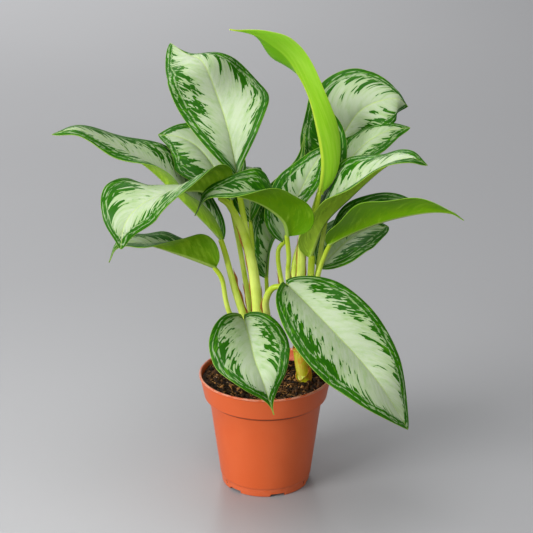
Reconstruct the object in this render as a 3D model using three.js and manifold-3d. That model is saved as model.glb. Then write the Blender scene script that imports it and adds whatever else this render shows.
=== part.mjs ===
// A potted Chinese evergreen: two leafy shoots in a 12 cm plastic nursery pot.
// Millimetres, +Z up, +X to the right and +Y to the back as the plant is seen from its front.
// The origin is the middle of the pot's foot, where the pot stands.

import * as THREE from "three";
import { mergeVertices } from "three/addons/utils/BufferGeometryUtils.js";
import Module from "manifold-3d";

const wasm = await Module();
wasm.setup();

// ---------------------------------------------------------------- driving dimensions

const GAP = 0.3; // clearance between two pieces that touch

const POT = {
  rimRadius: 60,
  rimTop: 105.5,
  bandFootRadius: 55.4, // the rim band tapers from the lip down to here
  bandFoot: 85,
  bodyTopRadius: 50.8,
  bodyTop: 81.5,
  footRadius: 41.4,
  footTop: 8.4,
  baseRadius: 40,
  footRing: 1.9, // width of the ring that the pot stands on
  wall: 1.3,
  lip: 1.1, // radius of the rolled lip
  lipStep: 0.9, // how far the lip stands out from the rim band
  bevel: 0.6,
  footStep: 0.5, // the foot is this much narrower than the body above it
  shelfDrop: 1, // the shelf below the rim band lies this much lower on the inside
  floorCorner: 1.4, // the corner between the floor and the wall on the inside
  floorUnder: 3,
  floorTop: 4.6,
  padRadius: 12, // flat pad in the middle of the floor, level with the foot
  sides: 40,
};

const DRAIN = {
  notches: 6,
  firstAngle: -73.5, // degrees about +Z from +X
  notchHeight: 2.4,
  notchWidth: 12.4,
  notchInner: 35.6,
  slotInner: 31,
  slotOuter: 36.6,
  slotWidth: 10.4,
  slits: 3,
  firstSlitAngle: -30.5,
  slitWidth: 1.6,
  slitInner: 36,
  slitFoot: 2.6,
  slitTop: 6.4,
  past: 2, // how far the cuts run on past a face
};

const SOIL = {
  top: 94.5,
  crown: 2.2, // rise of the middle over the edge
  relief: 1.1, // height of the lumps
  lumps: [5.1, 4.3, 7.9, 3.7], // lengths of the ripples whose products make the lumps
  rings: 6,
  sectors: 30,
  middle: 0.6, // radius of the innermost ring
  facetRoom: 0.2, // the flat facets of the pot's wall stand in by less than this
  slack: 0.5,
  holeFloor: 58, // the stems stand in plain holes down to this height
};

const CANE = {
  radius: 6.4,
  topRadius: 5.4,
  foot: 58.4,
  sides: 12,
  steps: 6,
};

const STALK = {
  sides: 7,
  steps: 10,
  straight: 6, // the last stretch below the blade runs on in line with the midrib
};

const BLADE = {
  stations: 16, // cross sections from the stalk to the tip
  across: [-1, -0.66, -0.3, 0, 0.3, 0.66, 1], // places over the width, -1 and 1 at the margins
  margin: 0.7, // thickness at the margin
  ribAtStalk: 2.2, // thickness over the midrib
  ribAtTip: 0.9,
  ribSpread: 0.16, // how far the rib's swelling reaches over a half, as a share of its width
  stalkHalfWidth: 1.9,
  tipHalfWidth: 0.5,
  fullness: 0.72, // lower is rounder at the stalk
  belly: 0.85, // lower moves the widest place towards the stalk
  point: 0.3, // how much the last part narrows into a drip tip
  pointFrom: 0.55,
  endCrowding: 0.08, // how much closer the stations stand at both ends
  edgeRoll: 15, // degrees by which each half rolls over from midrib to margin
  waves: 2.5, // waves of the margin along the blade
  waveHeight: 0.08, // as a share of the half's width
  waveShift: 0.23, // of a wave, between the two margins
};

// Each leaf: its midrib from the stalk to the tip, the way its upper side faces along the midrib,
// and its two halves, left and right as on the upper side with the tip ahead: the greatest width
// from midrib to margin, and how far the half is folded up from stalk to tip, in degrees.
// The stalk runs on from the midrib's start down into the cane, with its radius at even places.
const LEAVES = [
  {
    name: "leaf_tall_left",
    shoot: "left",
    midrib: [
      [-24, 12, 281], [-32, 18, 327], [-37, 24, 348], [-48, 34, 375], [-61, 54, 383],
      [-85, 80, 389],
    ],
    facing: [[0.3, -0.85, 0.45], [0.25, -0.8, 0.5], [0.2, -0.6, 0.75]],
    left: { width: 41, belly: 1.35, point: 0, fold: [50, 20, 5, 5, 10] },
    right: { width: 38, belly: 1, fold: [66, 60, 32, -5, -20] },
    stalk: [[-21, 11, 259], [-17, 9, 236], [-10, 4, 193], [-5, 3, 126]],
    stalkRadii: [2.6, 3, 3.6],
  },
  {
    name: "leaf_long_left",
    shoot: "left",
    midrib: [
      [-37, 0, 232], [-52, 8, 246], [-76, 18, 267], [-101, 16, 293], [-130, 10, 315],
      [-159, 3, 331], [-182, -2, 328],
    ],
    facing: [[0.8, 0.05, 0.6], [0.5, 0, 0.8], [0.3, 0, 0.95], [0, 0, 1], [0, 0, 1]],
    left: { width: 33, fold: [50, 48, 32, 2, -15] },
    right: { width: 34, fold: [55, 50, 42, 18, 10], point: 0.1 },
    stalk: [[-35, -1, 218], [-27, -1, 185], [-18, 1, 154], [-7, 5, 113]],
    stalkRadii: [2.4, 3.2, 4],
  },
  {
    name: "leaf_back_left",
    shoot: "left",
    midrib: [[-30, 14, 263], [-43, 24, 290], [-55, 34, 309], [-71, 42, 316], [-95, 46, 314]],
    facing: [[0.3, -0.8, 0.5], [0.3, -0.75, 0.6], [0.2, -0.6, 0.8]],
    left: { width: 32, fold: [25, -5, -15] },
    right: { width: 30, fold: [30, 35, 15] },
    stalk: [[-24, 12, 227], [-17, 10, 184], [-6, 6, 113]],
    stalkRadii: [2.2, 2.4, 3.5],
  },
  {
    name: "leaf_pale_left",
    shoot: "left",
    midrib: [
      [-37, -12, 276], [-58, -34, 289], [-83, -54, 292], [-104, -64, 284],
      [-116, -70, 270], [-120, -72, 249],
    ],
    facing: [[0.5, 0.2, 0.85], [0.1, 0.05, 1], [-0.1, -0.35, 0.95], [0, -0.85, 0.5], [0, -0.95, 0.3]],
    left: { width: 40, fullness: 0.55, fold: [80, 66, 47, 57, 35] },
    right: { width: 45, belly: 1.2, point: 0.2, fold: [30, 8, -14, -5, 5] },
    stalk: [[-30, -10, 265], [-18, -5, 236], [-10, -2, 198], [-5, 4, 130]],
    stalkRadii: [2.6, 3.8, 4.8],
  },
  {
    name: "leaf_low_left",
    shoot: "left",
    midrib: [
      [-43, -8, 210], [-69, -18, 224], [-96, -28, 237], [-117, -33, 241],
      [-128, -36, 237], [-134, -38, 225],
    ],
    facing: [[0.4, 0.2, 0.85], [0, 0.1, 1], [-0.1, 0, 1], [-0.3, -0.1, 0.95], [-0.9, -0.2, 0.4]],
    left: { width: 28, belly: 0.7, point: 0.6, fold: [75, 82, 40, 25, 10] },
    right: { width: 28, belly: 0.7, point: 0.6, fold: [60, 42, 28, 20, 10] },
    stalk: [[-38, -8, 197], [-32, -5, 165], [-10, 4, 113]],
    stalkRadii: [2.1, 2.3, 3.4],
  },
  {
    name: "leaf_back",
    shoot: "left",
    midrib: [[-14, 16, 243], [-14, 28, 263], [-14, 42, 275], [-12, 58, 280], [-9, 72, 272]],
    facing: [[-0.2, -0.8, 0.6], [0, -0.5, 0.9], [0, 0.3, 1]],
    left: { width: 19, fold: [40, 20, 10] },
    right: { width: 14, fold: [40, 20, 10] },
    stalk: [[-12, 14, 226], [-9, 11, 171], [-5, 6, 116]],
    stalkRadii: [1.8, 2.2, 3],
  },
  {
    name: "leaf_back_middle",
    shoot: "left",
    midrib: [[0, 16, 190], [2, 23, 212], [7, 29, 233], [17, 32, 265], [30, 32, 295], [34, 32, 319]],
    facing: [[-0.4, -0.8, 0.5], [-0.5, -0.8, 0.5], [-0.2, -0.8, 0.5]],
    left: { width: 23, point: 0.6, fold: [30, 24, 15] },
    right: { width: 20, point: 0.6, fold: [75, 68, 25, 10, 10] },
    stalk: [[1, 14, 173], [-1, 8, 144], [-4, 5, 117]],
    stalkRadii: [1.8, 2.2, 3],
  },
  {
    name: "leaf_front_left",
    shoot: "left",
    midrib: [[-19, -28, 168], [-14, -56, 162], [-8, -82, 153], [-3, -92, 136], [7, -95, 108]],
    facing: [[0, -0.3, 0.95], [0, -0.7, 0.7], [0.1, -0.95, 0.3]],
    left: { width: 38, point: 0.8, fullness: 0.65, fold: [45, 20, 12, 8, 8] },
    right: { width: 40, point: 0.8, fullness: 0.65, fold: [45, 42, 36, 26, 15] },
    stalk: [[-15, -16, 161], [-7, 2, 124]],
    stalkRadii: [2.2, 3],
  },
  {
    name: "leaf_front_right",
    shoot: "left",
    midrib: [
      [18, -26, 201], [39, -52, 189], [58, -72, 174], [77, -88, 157], [97, -100, 134],
      [119, -108, 103],
    ],
    facing: [[0.3, -0.4, 0.85], [0.35, -0.45, 0.8], [0.5, -0.5, 0.6]],
    left: { width: 39, belly: 0.8, point: 0.2, fold: [38, 42, 45, 40, 25] },
    right: { width: 45, belly: 0.8, point: 0.2, fold: [28, 20, 18, 15, 10] },
    stalk: [[6, -22, 195], [0, -14, 179], [1, -6, 159], [-3, 3, 124]],
    stalkRadii: [2.4, 2.6, 3.6],
  },
  {
    name: "leaf_middle",
    shoot: "right",
    midrib: [
      [20, -25, 244], [15, -33, 262], [-3, -44, 280], [-26, -55, 291], [-48, -60, 291],
      [-59, -62, 275],
    ],
    facing: [[1, 0, 0.2], [0.6, 0.1, 0.8], [0, 0.1, 1], [-0.3, 0, 0.95], [-0.9, -0.1, 0.3]],
    left: { width: 33, belly: 0.7, point: 0.5, fold: [85, 70, 38, 24, 10] },
    right: { width: 31, belly: 0.7, point: 0.5, fold: [30, 40, 65, 35, 10] },
    stalk: [[20, -22, 224], [20, -11, 196], [28, 3, 135]],
    stalkRadii: [2.1, 2.3, 3],
  },
  {
    name: "leaf_centre",
    shoot: "right",
    midrib: [[16, 4, 228], [21, 10, 252], [31, 15, 273], [43, 21, 295], [57, 27, 312]],
    facing: [[-0.35, -0.8, 0.5]],
    left: { width: 24, belly: 0.7, fold: [45, 38, 32, 22, 10] },
    right: { width: 20, fold: [60, 60, 50, 30, 20] },
    stalk: [[11, 4, 219], [14, 4, 192], [27, 5, 135]],
    stalkRadii: [2, 2.2, 3],
  },
  {
    name: "leaf_new_rolled",
    shoot: "right",
    young: true,
    midrib: [
      [49, 4, 278], [47, 3, 302], [43, 1, 333], [32, 0, 363], [17, 0, 388],
      [1, 0, 405], [-13, 0, 414], [-30, 0, 418],
    ],
    facing: [[1, 0, 0], [1, 0, 0.2], [0.9, 0, 0.45], [0.66, 0, 0.75], [0, 0, 1]],
    waveHeight: 0,
    edgeRoll: -30,
    left: { width: 18, belly: 1, fullness: 0.4, point: 0.1, fold: [60, 60, 50, 55, 20] },
    right: { width: 18, belly: 1.25, fullness: 0.45, fold: [55, 55, 50, -60, 0] },
    stalk: [[42, 3, 259], [33, 3, 238], [31, 3, 202], [31, 4, 133]],
    stalkRadii: [2.2, 2.8, 3.6],
  },
  {
    name: "leaf_upper_right",
    shoot: "right",
    midrib: [[63, 86, 288], [71, 88, 303], [81, 89, 320], [96, 88, 335], [112, 86, 337], [129, 84, 329]],
    facing: [[-0.1, -0.95, 0.3], [-0.1, -0.9, 0.4], [0, -0.8, 0.6]],
    left: { width: 39, fold: [20, 15, 5, -8, -20] },
    right: { width: 27, belly: 1, point: 0, fold: [40, 34, 22, 5, -10] },
    stalk: [[51, 70, 262], [37, 39, 222], [33, 13, 184], [34, 4, 130]],
    stalkRadii: [1.8, 1.9, 3],
  },
  {
    name: "leaf_behind_new",
    shoot: "right",
    midrib: [[57, 28, 270], [55, 36, 295], [51, 43, 320], [40, 50, 352]],
    facing: [[-0.1, -0.85, 0.5]],
    left: { width: 23, fold: [30, 20, 15] },
    right: { width: 18, fold: [25, 15, 10] },
    stalk: [[47, 26, 243], [35, 21, 225], [28, 11, 205], [30, 5, 139]],
    stalkRadii: [1.8, 2, 3],
  },
  {
    name: "leaf_tucked_right",
    shoot: "right",
    midrib: [[64, 40, 279], [78, 47, 295], [93, 54, 307], [111, 58, 315], [129, 62, 316]],
    facing: [[-0.1, -0.6, 0.8], [-0.1, -0.6, 0.8], [0, -0.6, 0.8]],
    left: { width: 23, fold: [5, -10, -8, 0] },
    right: { width: 26, fold: [45, 38, 20] },
    stalk: [[57, 33, 258], [45, 20, 222], [36, 9, 180], [33, 6, 134]],
    stalkRadii: [1.8, 2, 3],
  },
  {
    name: "leaf_arching_right",
    shoot: "right",
    midrib: [
      [38, 0, 216], [50, -8, 250], [72, -16, 277], [100, -30, 308], [120, -38, 318],
      [135, -40, 312],
    ],
    facing: [[-0.85, 0.1, 0.6], [-0.45, 0.1, 0.9], [0.3, -0.3, 0.9]],
    left: { width: 36, fold: [45, 45, 54, 28, 10] },
    right: { width: 33, fold: [65, 42, 34, 25, 10] },
    stalk: [[39, 0, 201], [33, 4, 135]],
    stalkRadii: [2.6, 2.8, 3.4],
  },
  {
    name: "leaf_long_right",
    shoot: "right",
    midrib: [
      [54, -8, 231], [75, -18, 246], [104, -32, 262], [134, -46, 273], [154, -54, 275],
      [165, -58, 270],
    ],
    facing: [[-0.6, 0.1, 0.8], [-0.3, 0.05, 1], [-0.1, 0, 1], [0, 0, 1], [0.1, 0, 1]],
    left: { width: 33, fold: [55, 70, 30, 0, -10] },
    right: { width: 33, fold: [55, 55, 60, 62, 35] },
    stalk: [[52, -7, 221], [46, -5, 200], [34, 3, 133]],
    stalkRadii: [2, 2.2, 3],
  },
  {
    name: "leaf_low_right",
    shoot: "right",
    midrib: [[47, 14, 200], [62, 24, 212], [77, 34, 222], [94, 42, 228], [111, 50, 227]],
    facing: [[-0.3, -0.5, 0.8], [-0.3, -0.5, 0.8], [0, -0.5, 0.8]],
    left: { width: 30, fold: [30, 15, 10] },
    right: { width: 30, point: 0.5, fold: [30, 28, 30] },
    stalk: [[45, 12, 190], [34, 5, 133]],
    stalkRadii: [2, 2.2, 3],
  },
];

// Each shoot: its cane from the soil upwards. Its leaves' stalks run down into it.
const SHOOTS = [
  { name: "shoot_left", side: "left", cane: [[-5, 6, 93], [-5, 5, 113], [-5, 4, 132]] },
  { name: "shoot_right", side: "right", cane: [[36, 4, 92], [33, 4, 113], [31, 4, 137]] },
];

// ---------------------------------------------------------------- materials

function surface(color, roughness, metalness = 0) {
  return new THREE.MeshStandardMaterial({ color, roughness, metalness });
}

const MATERIALS = {
  pot: surface(0xc9633a, 0.45),
  soil: surface(0x3a2a1c, 0.95),
  shoot: surface(0xb7c64a, 0.5),
  variegated: surface(0x6f9a55, 0.42),
  youngLeaf: surface(0x84b52e, 0.4),
};

// ---------------------------------------------------------------- solids and meshes

// Joins vertices that coincide, so that the surface is closed, and keeps only their places.
function weld(geometry) {
  const bare = geometry.index ? geometry.toNonIndexed() : geometry.clone();
  bare.deleteAttribute("normal");
  bare.deleteAttribute("uv");
  return mergeVertices(bare, 1e-4);
}

function toSolid(geometry) {
  const closed = weld(geometry);
  return new wasm.Manifold(
    new wasm.Mesh({
      numProp: 3,
      vertProperties: new Float32Array(closed.attributes.position.array),
      triVerts: new Uint32Array(closed.index.array),
    }),
  );
}

// The triangles of the largest of a solid's closed skins: a skin hangs together over its edges.
// Loose scraps and sealed hollows are left out.
function largestSkin(mesh) {
  const corners = mesh.triVerts;
  const owner = Array.from({ length: corners.length / 3 }, (_, i) => i);
  const find = (i) => {
    let root = i;
    while (owner[root] !== root) root = owner[root];
    owner[i] = root;
    return root;
  };
  const firstAtEdge = new Map();
  for (let k = 0; k < corners.length; k += 1) {
    const triangle = Math.floor(k / 3);
    const from = corners[k];
    const to = corners[k % 3 === 2 ? k - 2 : k + 1];
    const edge = Math.min(from, to) * mesh.numVert + Math.max(from, to);
    if (firstAtEdge.has(edge)) owner[find(triangle)] = find(firstAtEdge.get(edge));
    else firstAtEdge.set(edge, triangle);
  }
  const skins = new Map();
  for (let i = 0; i < owner.length; i += 1) {
    const root = find(i);
    if (!skins.has(root)) skins.set(root, []);
    skins.get(root).push(...corners.slice(3 * i, 3 * i + 3));
  }
  return [...skins.values()].sort((a, b) => b.length - a.length)[0];
}

function toGeometry(solid) {
  const mesh = solid.getMesh();
  const geometry = new THREE.BufferGeometry();
  const positions = new Float32Array(mesh.numVert * 3);
  for (let i = 0; i < mesh.numVert; i += 1) {
    for (let k = 0; k < 3; k += 1) positions[3 * i + k] = mesh.vertProperties[i * mesh.numProp + k];
  }
  geometry.setAttribute("position", new THREE.BufferAttribute(positions, 3));
  geometry.setIndex(largestSkin(mesh));
  const used = mergeVertices(geometry.toNonIndexed(), 1e-4);
  used.computeVertexNormals();
  return used;
}

function piece(name, geometry, material) {
  const mesh = new THREE.Mesh(geometry, material);
  mesh.name = name;
  return mesh;
}

// A closed skin over rings of points that all run the same way round, with flat ends.
function loft(rings) {
  const size = rings[0].length;
  const positions = rings.flat().flatMap((p) => [p.x, p.y, p.z]);
  const faces = [];
  for (let i = 0; i + 1 < rings.length; i += 1) {
    for (let j = 0; j < size; j += 1) {
      const a = i * size + j;
      const b = i * size + ((j + 1) % size);
      faces.push(a, b, b + size, a, b + size, a + size);
    }
  }
  const last = (rings.length - 1) * size;
  for (let j = 1; j + 1 < size; j += 1) {
    faces.push(0, j + 1, j, last, last + j, last + j + 1);
  }
  const geometry = new THREE.BufferGeometry();
  geometry.setAttribute("position", new THREE.Float32BufferAttribute(positions, 3));
  geometry.setIndex(faces);
  geometry.computeVertexNormals();
  return geometry;
}

// ---------------------------------------------------------------- curves and tapers

const toVector = ([x, y, z]) => new THREE.Vector3(x, y, z);

const mix = (a, b, t) => a + (b - a) * t;

function smoothStep(from, to, t) {
  const s = Math.min(Math.max((t - from) / (to - from), 0), 1);
  return s * s * (3 - 2 * s);
}

function throughPoints(points) {
  return new THREE.CatmullRomCurve3(points, false, "catmullrom", 0.5);
}

// The value at t, from 0 to 1, of a smooth run through evenly spaced values.
function along(values, t) {
  const last = values.length - 1;
  if (last === 0) return values[0];
  const place = Math.min(t * last, last - 1e-9);
  const i = Math.floor(place);
  const f = place - i;
  const before = values[Math.max(i - 1, 0)];
  const after = values[Math.min(i + 2, last)];
  const [a, b] = [values[i], values[i + 1]];
  const curve = 2 * before - 5 * a + 4 * b - after;
  return a + 0.5 * f * (b - before + f * (curve + f * (3 * (a - b) + after - before)));
}

// ---------------------------------------------------------------- pot and soil

function potBody() {
  const p = POT;
  const inner = (radius) => radius - p.wall;
  const lipMiddle = p.rimTop - p.lip;
  const profile = [
    [0, 0],
    [p.padRadius, 0],
    [p.padRadius, p.floorUnder],
    [p.baseRadius - p.footRing, p.floorUnder],
    [p.baseRadius - p.footRing, 0],
    [p.baseRadius - p.bevel, 0],
    [p.baseRadius, p.bevel],
    [p.footRadius - p.footStep, p.footTop - p.bevel],
    [p.footRadius, p.footTop],
    [p.bodyTopRadius, p.bodyTop],
    [p.bandFootRadius - p.bevel, p.bandFoot - p.bevel],
    [p.bandFootRadius, p.bandFoot],
    [p.rimRadius - p.lipStep, lipMiddle - p.lip],
  ];
  for (let turn = -1; turn <= 3; turn += 1) {
    const angle = (turn * Math.PI) / 4;
    const out = p.rimRadius - p.lip + p.lip * Math.cos(angle);
    profile.push([out, lipMiddle + p.lip * Math.sin(angle)]);
  }
  profile.push(
    [inner(p.rimRadius - p.lipStep), lipMiddle - p.lip],
    [inner(p.bandFootRadius), p.bandFoot],
    [inner(p.bodyTopRadius), p.bodyTop - p.shelfDrop],
    [inner(p.footRadius), p.footTop],
    [inner(p.footRadius) - p.floorCorner, p.floorTop],
    [0, p.floorTop],
  );
  const outline = profile.map(([r, z]) => new THREE.Vector2(r, z));
  return new THREE.LatheGeometry(outline, p.sides).rotateX(Math.PI / 2);
}

// A box that reaches radially from one radius to another, turned about the pot's axis.
function radialBox(innerRadius, outerRadius, width, foot, top, degrees) {
  const box = new THREE.BoxGeometry(outerRadius - innerRadius, width, top - foot);
  box.translate((innerRadius + outerRadius) / 2, 0, (foot + top) / 2);
  return toSolid(box.rotateZ(THREE.MathUtils.degToRad(degrees)));
}

// Notches in the foot ring, each with a slot in the floor behind it, and slits above the foot.
function pot() {
  const d = DRAIN;
  const outside = POT.footRadius + d.past;
  const above = POT.floorTop + d.past;
  let solid = toSolid(potBody());
  for (let i = 0; i < d.notches; i += 1) {
    const angle = d.firstAngle + (360 / d.notches) * i;
    const notch = radialBox(d.notchInner, outside, d.notchWidth, -d.past, d.notchHeight, angle);
    const slot = radialBox(d.slotInner, d.slotOuter, d.slotWidth, -d.past, above, angle);
    solid = solid.subtract(notch).subtract(slot);
  }
  for (let i = 0; i < d.slits; i += 1) {
    const angle = d.firstSlitAngle + (360 / d.slits) * i;
    const slit = radialBox(d.slitInner, outside, d.slitWidth, d.slitFoot, d.slitTop, angle);
    solid = solid.subtract(slit);
  }
  return piece("pot", toGeometry(solid), MATERIALS.pot);
}

// Height of the soil: a low crown with lumps, from two crossed ripples.
function soilHeight(x, y) {
  const edge = POT.bandFootRadius;
  const [a, b, c, d] = SOIL.lumps;
  const crown = SOIL.crown * (1 - (x * x + y * y) / (edge * edge));
  const straight = Math.sin(x / a) * Math.cos(y / b);
  const slanting = Math.sin((x + y) / c) * Math.cos((x - y) / d);
  return SOIL.top + crown + 0.5 * SOIL.relief * (straight + slanting);
}

function ringOfPoints(radius, height) {
  return Array.from({ length: SOIL.sectors }, (_, k) => {
    const angle = (2 * Math.PI * k) / SOIL.sectors;
    const x = radius * Math.cos(angle);
    const y = radius * Math.sin(angle);
    return new THREE.Vector3(x, y, height(x, y));
  });
}

function soil() {
  const p = POT;
  const { middle, slack } = SOIL;
  const inside = (radius) => radius - p.wall - GAP - SOIL.facetRoom - slack;
  const bandSlope = (p.rimRadius - p.bandFootRadius) / (p.rimTop - p.bandFoot);
  const topRadius = inside(p.bandFootRadius + bandSlope * (SOIL.top - p.bandFoot));
  const flat = (z) => () => z;
  const rings = [
    ringOfPoints(middle, flat(p.floorTop + GAP)),
    ringOfPoints(inside(p.footRadius) - p.floorCorner, flat(p.floorTop + GAP)),
    ringOfPoints(inside(p.footRadius), flat(p.footTop + slack)),
    ringOfPoints(inside(p.bodyTopRadius), flat(p.bodyTop - p.shelfDrop - slack)),
    ringOfPoints(inside(p.bandFootRadius), flat(p.bandFoot + slack)),
  ];
  for (let i = 0; i <= SOIL.rings; i += 1) {
    const radius = mix(topRadius, middle, i / SOIL.rings);
    rings.push(ringOfPoints(radius, soilHeight));
  }
  let solid = toSolid(loft(rings));
  for (const shoot of SHOOTS) {
    solid = solid.subtract(toSolid(caneBody(shoot, GAP, SOIL.holeFloor)));
  }
  return piece("soil", toGeometry(solid), MATERIALS.soil);
}

// ---------------------------------------------------------------- shoots

// A round stalk of changing radius along a smooth run through points.
function stalk(points, radii, sides, steps) {
  const path = throughPoints(points);
  const frames = path.computeFrenetFrames(steps, false);
  const rings = [];
  for (let i = 0; i <= steps; i += 1) {
    const centre = path.getPointAt(i / steps);
    const radius = along(radii, i / steps);
    const ring = [];
    for (let k = 0; k < sides; k += 1) {
      const angle = (2 * Math.PI * k) / sides;
      ring.push(
        centre
          .clone()
          .addScaledVector(frames.normals[i], radius * Math.cos(angle))
          .addScaledVector(frames.binormals[i], radius * Math.sin(angle)),
      );
    }
    rings.push(ring);
  }
  return loft(rings);
}

// The cane stands straight in the soil and leans above it. Extra room makes its hole.
function caneBody(shoot, room, foot) {
  const [x, y] = shoot.cane[0];
  const points = [[x, y, foot], ...shoot.cane].map(toVector);
  const radii = [CANE.radius + room, CANE.radius + room, CANE.topRadius + room];
  return stalk(points, radii, CANE.sides, CANE.steps);
}

// A leaf's stalk, which starts just short of the blade and in line with its midrib.
function leafStalk(leaf) {
  const start = toVector(leaf.midrib[0]);
  const ahead = throughPoints(leaf.midrib.map(toVector)).getTangentAt(0);
  const top = start.clone().addScaledVector(ahead, -GAP);
  const below = start.clone().addScaledVector(ahead, -STALK.straight);
  return stalk([top, below, ...leaf.stalk.map(toVector)], leaf.stalkRadii, STALK.sides, STALK.steps);
}

function shootPiece(shoot) {
  let solid = toSolid(caneBody(shoot, 0, CANE.foot));
  for (const leaf of LEAVES.filter(({ shoot: side }) => side === shoot.side)) {
    solid = solid.add(toSolid(leafStalk(leaf)));
  }
  return piece(shoot.name, toGeometry(solid), MATERIALS.shoot);
}

// ---------------------------------------------------------------- blades

// Half width of a blade at t: a rounded stalk end, a belly, and a narrowed drip tip.
function halfWidth(half, t) {
  const { belly = BLADE.belly, fullness = BLADE.fullness, point = BLADE.point } = half;
  const outline = Math.max(Math.sin(Math.PI * Math.pow(t, belly)), 0) ** fullness;
  const narrowing = 1 - point * smoothStep(BLADE.pointFrom, 1, t);
  const least = mix(BLADE.stalkHalfWidth, BLADE.tipHalfWidth, t);
  return Math.max(half.width * outline * narrowing, least);
}

// Axes of a blade at t: along the midrib, out of its upper side, and towards its right margin.
function bladeAxes(leaf, path, t) {
  const ahead = path.getTangentAt(t);
  const facing = new THREE.Vector3(
    along(leaf.facing.map((f) => f[0]), t),
    along(leaf.facing.map((f) => f[1]), t),
    along(leaf.facing.map((f) => f[2]), t),
  );
  const up = facing.addScaledVector(ahead, -facing.dot(ahead)).normalize();
  return { ahead, up, right: new THREE.Vector3().crossVectors(ahead, up) };
}

// A point of a blade's upper side: each half rises by its fold, rolls over towards its margin,
// and its margin waves up and down.
function bladePoint(leaf, path, t, u) {
  const { waves = BLADE.waves, waveHeight = BLADE.waveHeight, edgeRoll = BLADE.edgeRoll } = leaf;
  const { up, right } = bladeAxes(leaf, path, t);
  const half = u > 0 ? leaf.right : leaf.left;
  const share = Math.abs(u);
  const angle = THREE.MathUtils.degToRad(along(half.fold, t) - edgeRoll * share);
  const reach = halfWidth(half, t) * share;
  const phase = 2 * Math.PI * (waves * t + (u > 0 ? BLADE.waveShift : 0));
  const wave = half.width * waveHeight * share * share * Math.sin(phase) * Math.sin(Math.PI * t);
  return path
    .getPointAt(t)
    .addScaledVector(right, Math.sign(u) * reach * Math.cos(angle))
    .addScaledVector(up, reach * Math.sin(angle) + wave);
}

// Thickness of a blade: a rib under the middle that thins towards the tip, and thin margins.
function thickness(t, u) {
  const rib = mix(BLADE.ribAtStalk, BLADE.ribAtTip, t) - BLADE.margin;
  return BLADE.margin + rib * Math.exp(-((u / BLADE.ribSpread) ** 2));
}

// A blade is a grid of upper points and the same grid moved down along the surface normals.
function bladeGeometry(leaf) {
  const path = throughPoints(leaf.midrib.map(toVector));
  const rings = [];
  const step = 1e-3;
  for (let i = 0; i < BLADE.stations; i += 1) {
    const share = i / (BLADE.stations - 1);
    const t = share - BLADE.endCrowding * Math.sin(2 * Math.PI * share);
    const upper = BLADE.across.map((u) => bladePoint(leaf, path, t, u));
    const lower = BLADE.across.map((u, k) => {
      const before = bladePoint(leaf, path, Math.max(t - step, 0), u);
      const after = bladePoint(leaf, path, Math.min(t + step, 1), u);
      const left = upper[Math.max(k - 1, 0)];
      const right = upper[Math.min(k + 1, upper.length - 1)];
      const alongBlade = after.sub(before);
      const overBlade = right.clone().sub(left);
      const normal = overBlade.cross(alongBlade).normalize();
      return upper[k].clone().addScaledVector(normal, -thickness(t, u));
    });
    rings.push({ upper, lower });
  }
  return gridSkin(rings);
}

// Closes an upper and a lower grid with both split into triangles alike, and rims all round.
function gridSkin(rings) {
  const wide = rings[0].upper.length;
  const long = rings.length;
  const positions = [];
  rings.forEach(({ upper, lower }) => [...upper, ...lower].forEach((p) => positions.push(p.x, p.y, p.z)));
  const up = (i, j) => i * 2 * wide + j;
  const down = (i, j) => up(i, j) + wide;
  const faces = [];
  const quad = (a, b, c, d) => faces.push(a, b, c, a, c, d);
  for (let i = 0; i + 1 < long; i += 1) {
    for (let j = 0; j + 1 < wide; j += 1) {
      quad(up(i, j), up(i, j + 1), up(i + 1, j + 1), up(i + 1, j));
      faces.push(down(i, j), down(i + 1, j + 1), down(i, j + 1));
      faces.push(down(i, j), down(i + 1, j), down(i + 1, j + 1));
    }
    quad(down(i, 0), up(i, 0), up(i + 1, 0), down(i + 1, 0));
    quad(up(i, wide - 1), down(i, wide - 1), down(i + 1, wide - 1), up(i + 1, wide - 1));
  }
  for (let j = 0; j + 1 < wide; j += 1) {
    quad(down(0, j), down(0, j + 1), up(0, j + 1), up(0, j));
    quad(up(long - 1, j), up(long - 1, j + 1), down(long - 1, j + 1), down(long - 1, j));
  }
  const geometry = new THREE.BufferGeometry();
  geometry.setAttribute("position", new THREE.Float32BufferAttribute(positions, 3));
  geometry.setIndex(faces);
  geometry.computeVertexNormals();
  return geometry;
}

function blade(leaf) {
  const material = leaf.young ? MATERIALS.youngLeaf : MATERIALS.variegated;
  return piece(leaf.name, bladeGeometry(leaf), material);
}

// ---------------------------------------------------------------- the plant

const plant = new THREE.Group();
plant.add(pot());
plant.add(soil());
SHOOTS.forEach((shoot) => plant.add(shootPiece(shoot)));
LEAVES.forEach((leaf) => plant.add(blade(leaf)));

export default plant;
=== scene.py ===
"""Looks of a potted Chinese evergreen: two leafy shoots in a terracotta-coloured nursery pot.

Sizes are in millimetres in the tables and in metres in the meshes. +Z is up, +X is to the right
and +Y to the back as the plant is seen from its front, and the origin is under the pot's middle.
"""

import logging
import math
from collections.abc import Sequence
from dataclasses import dataclass, field
from enum import Enum

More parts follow.
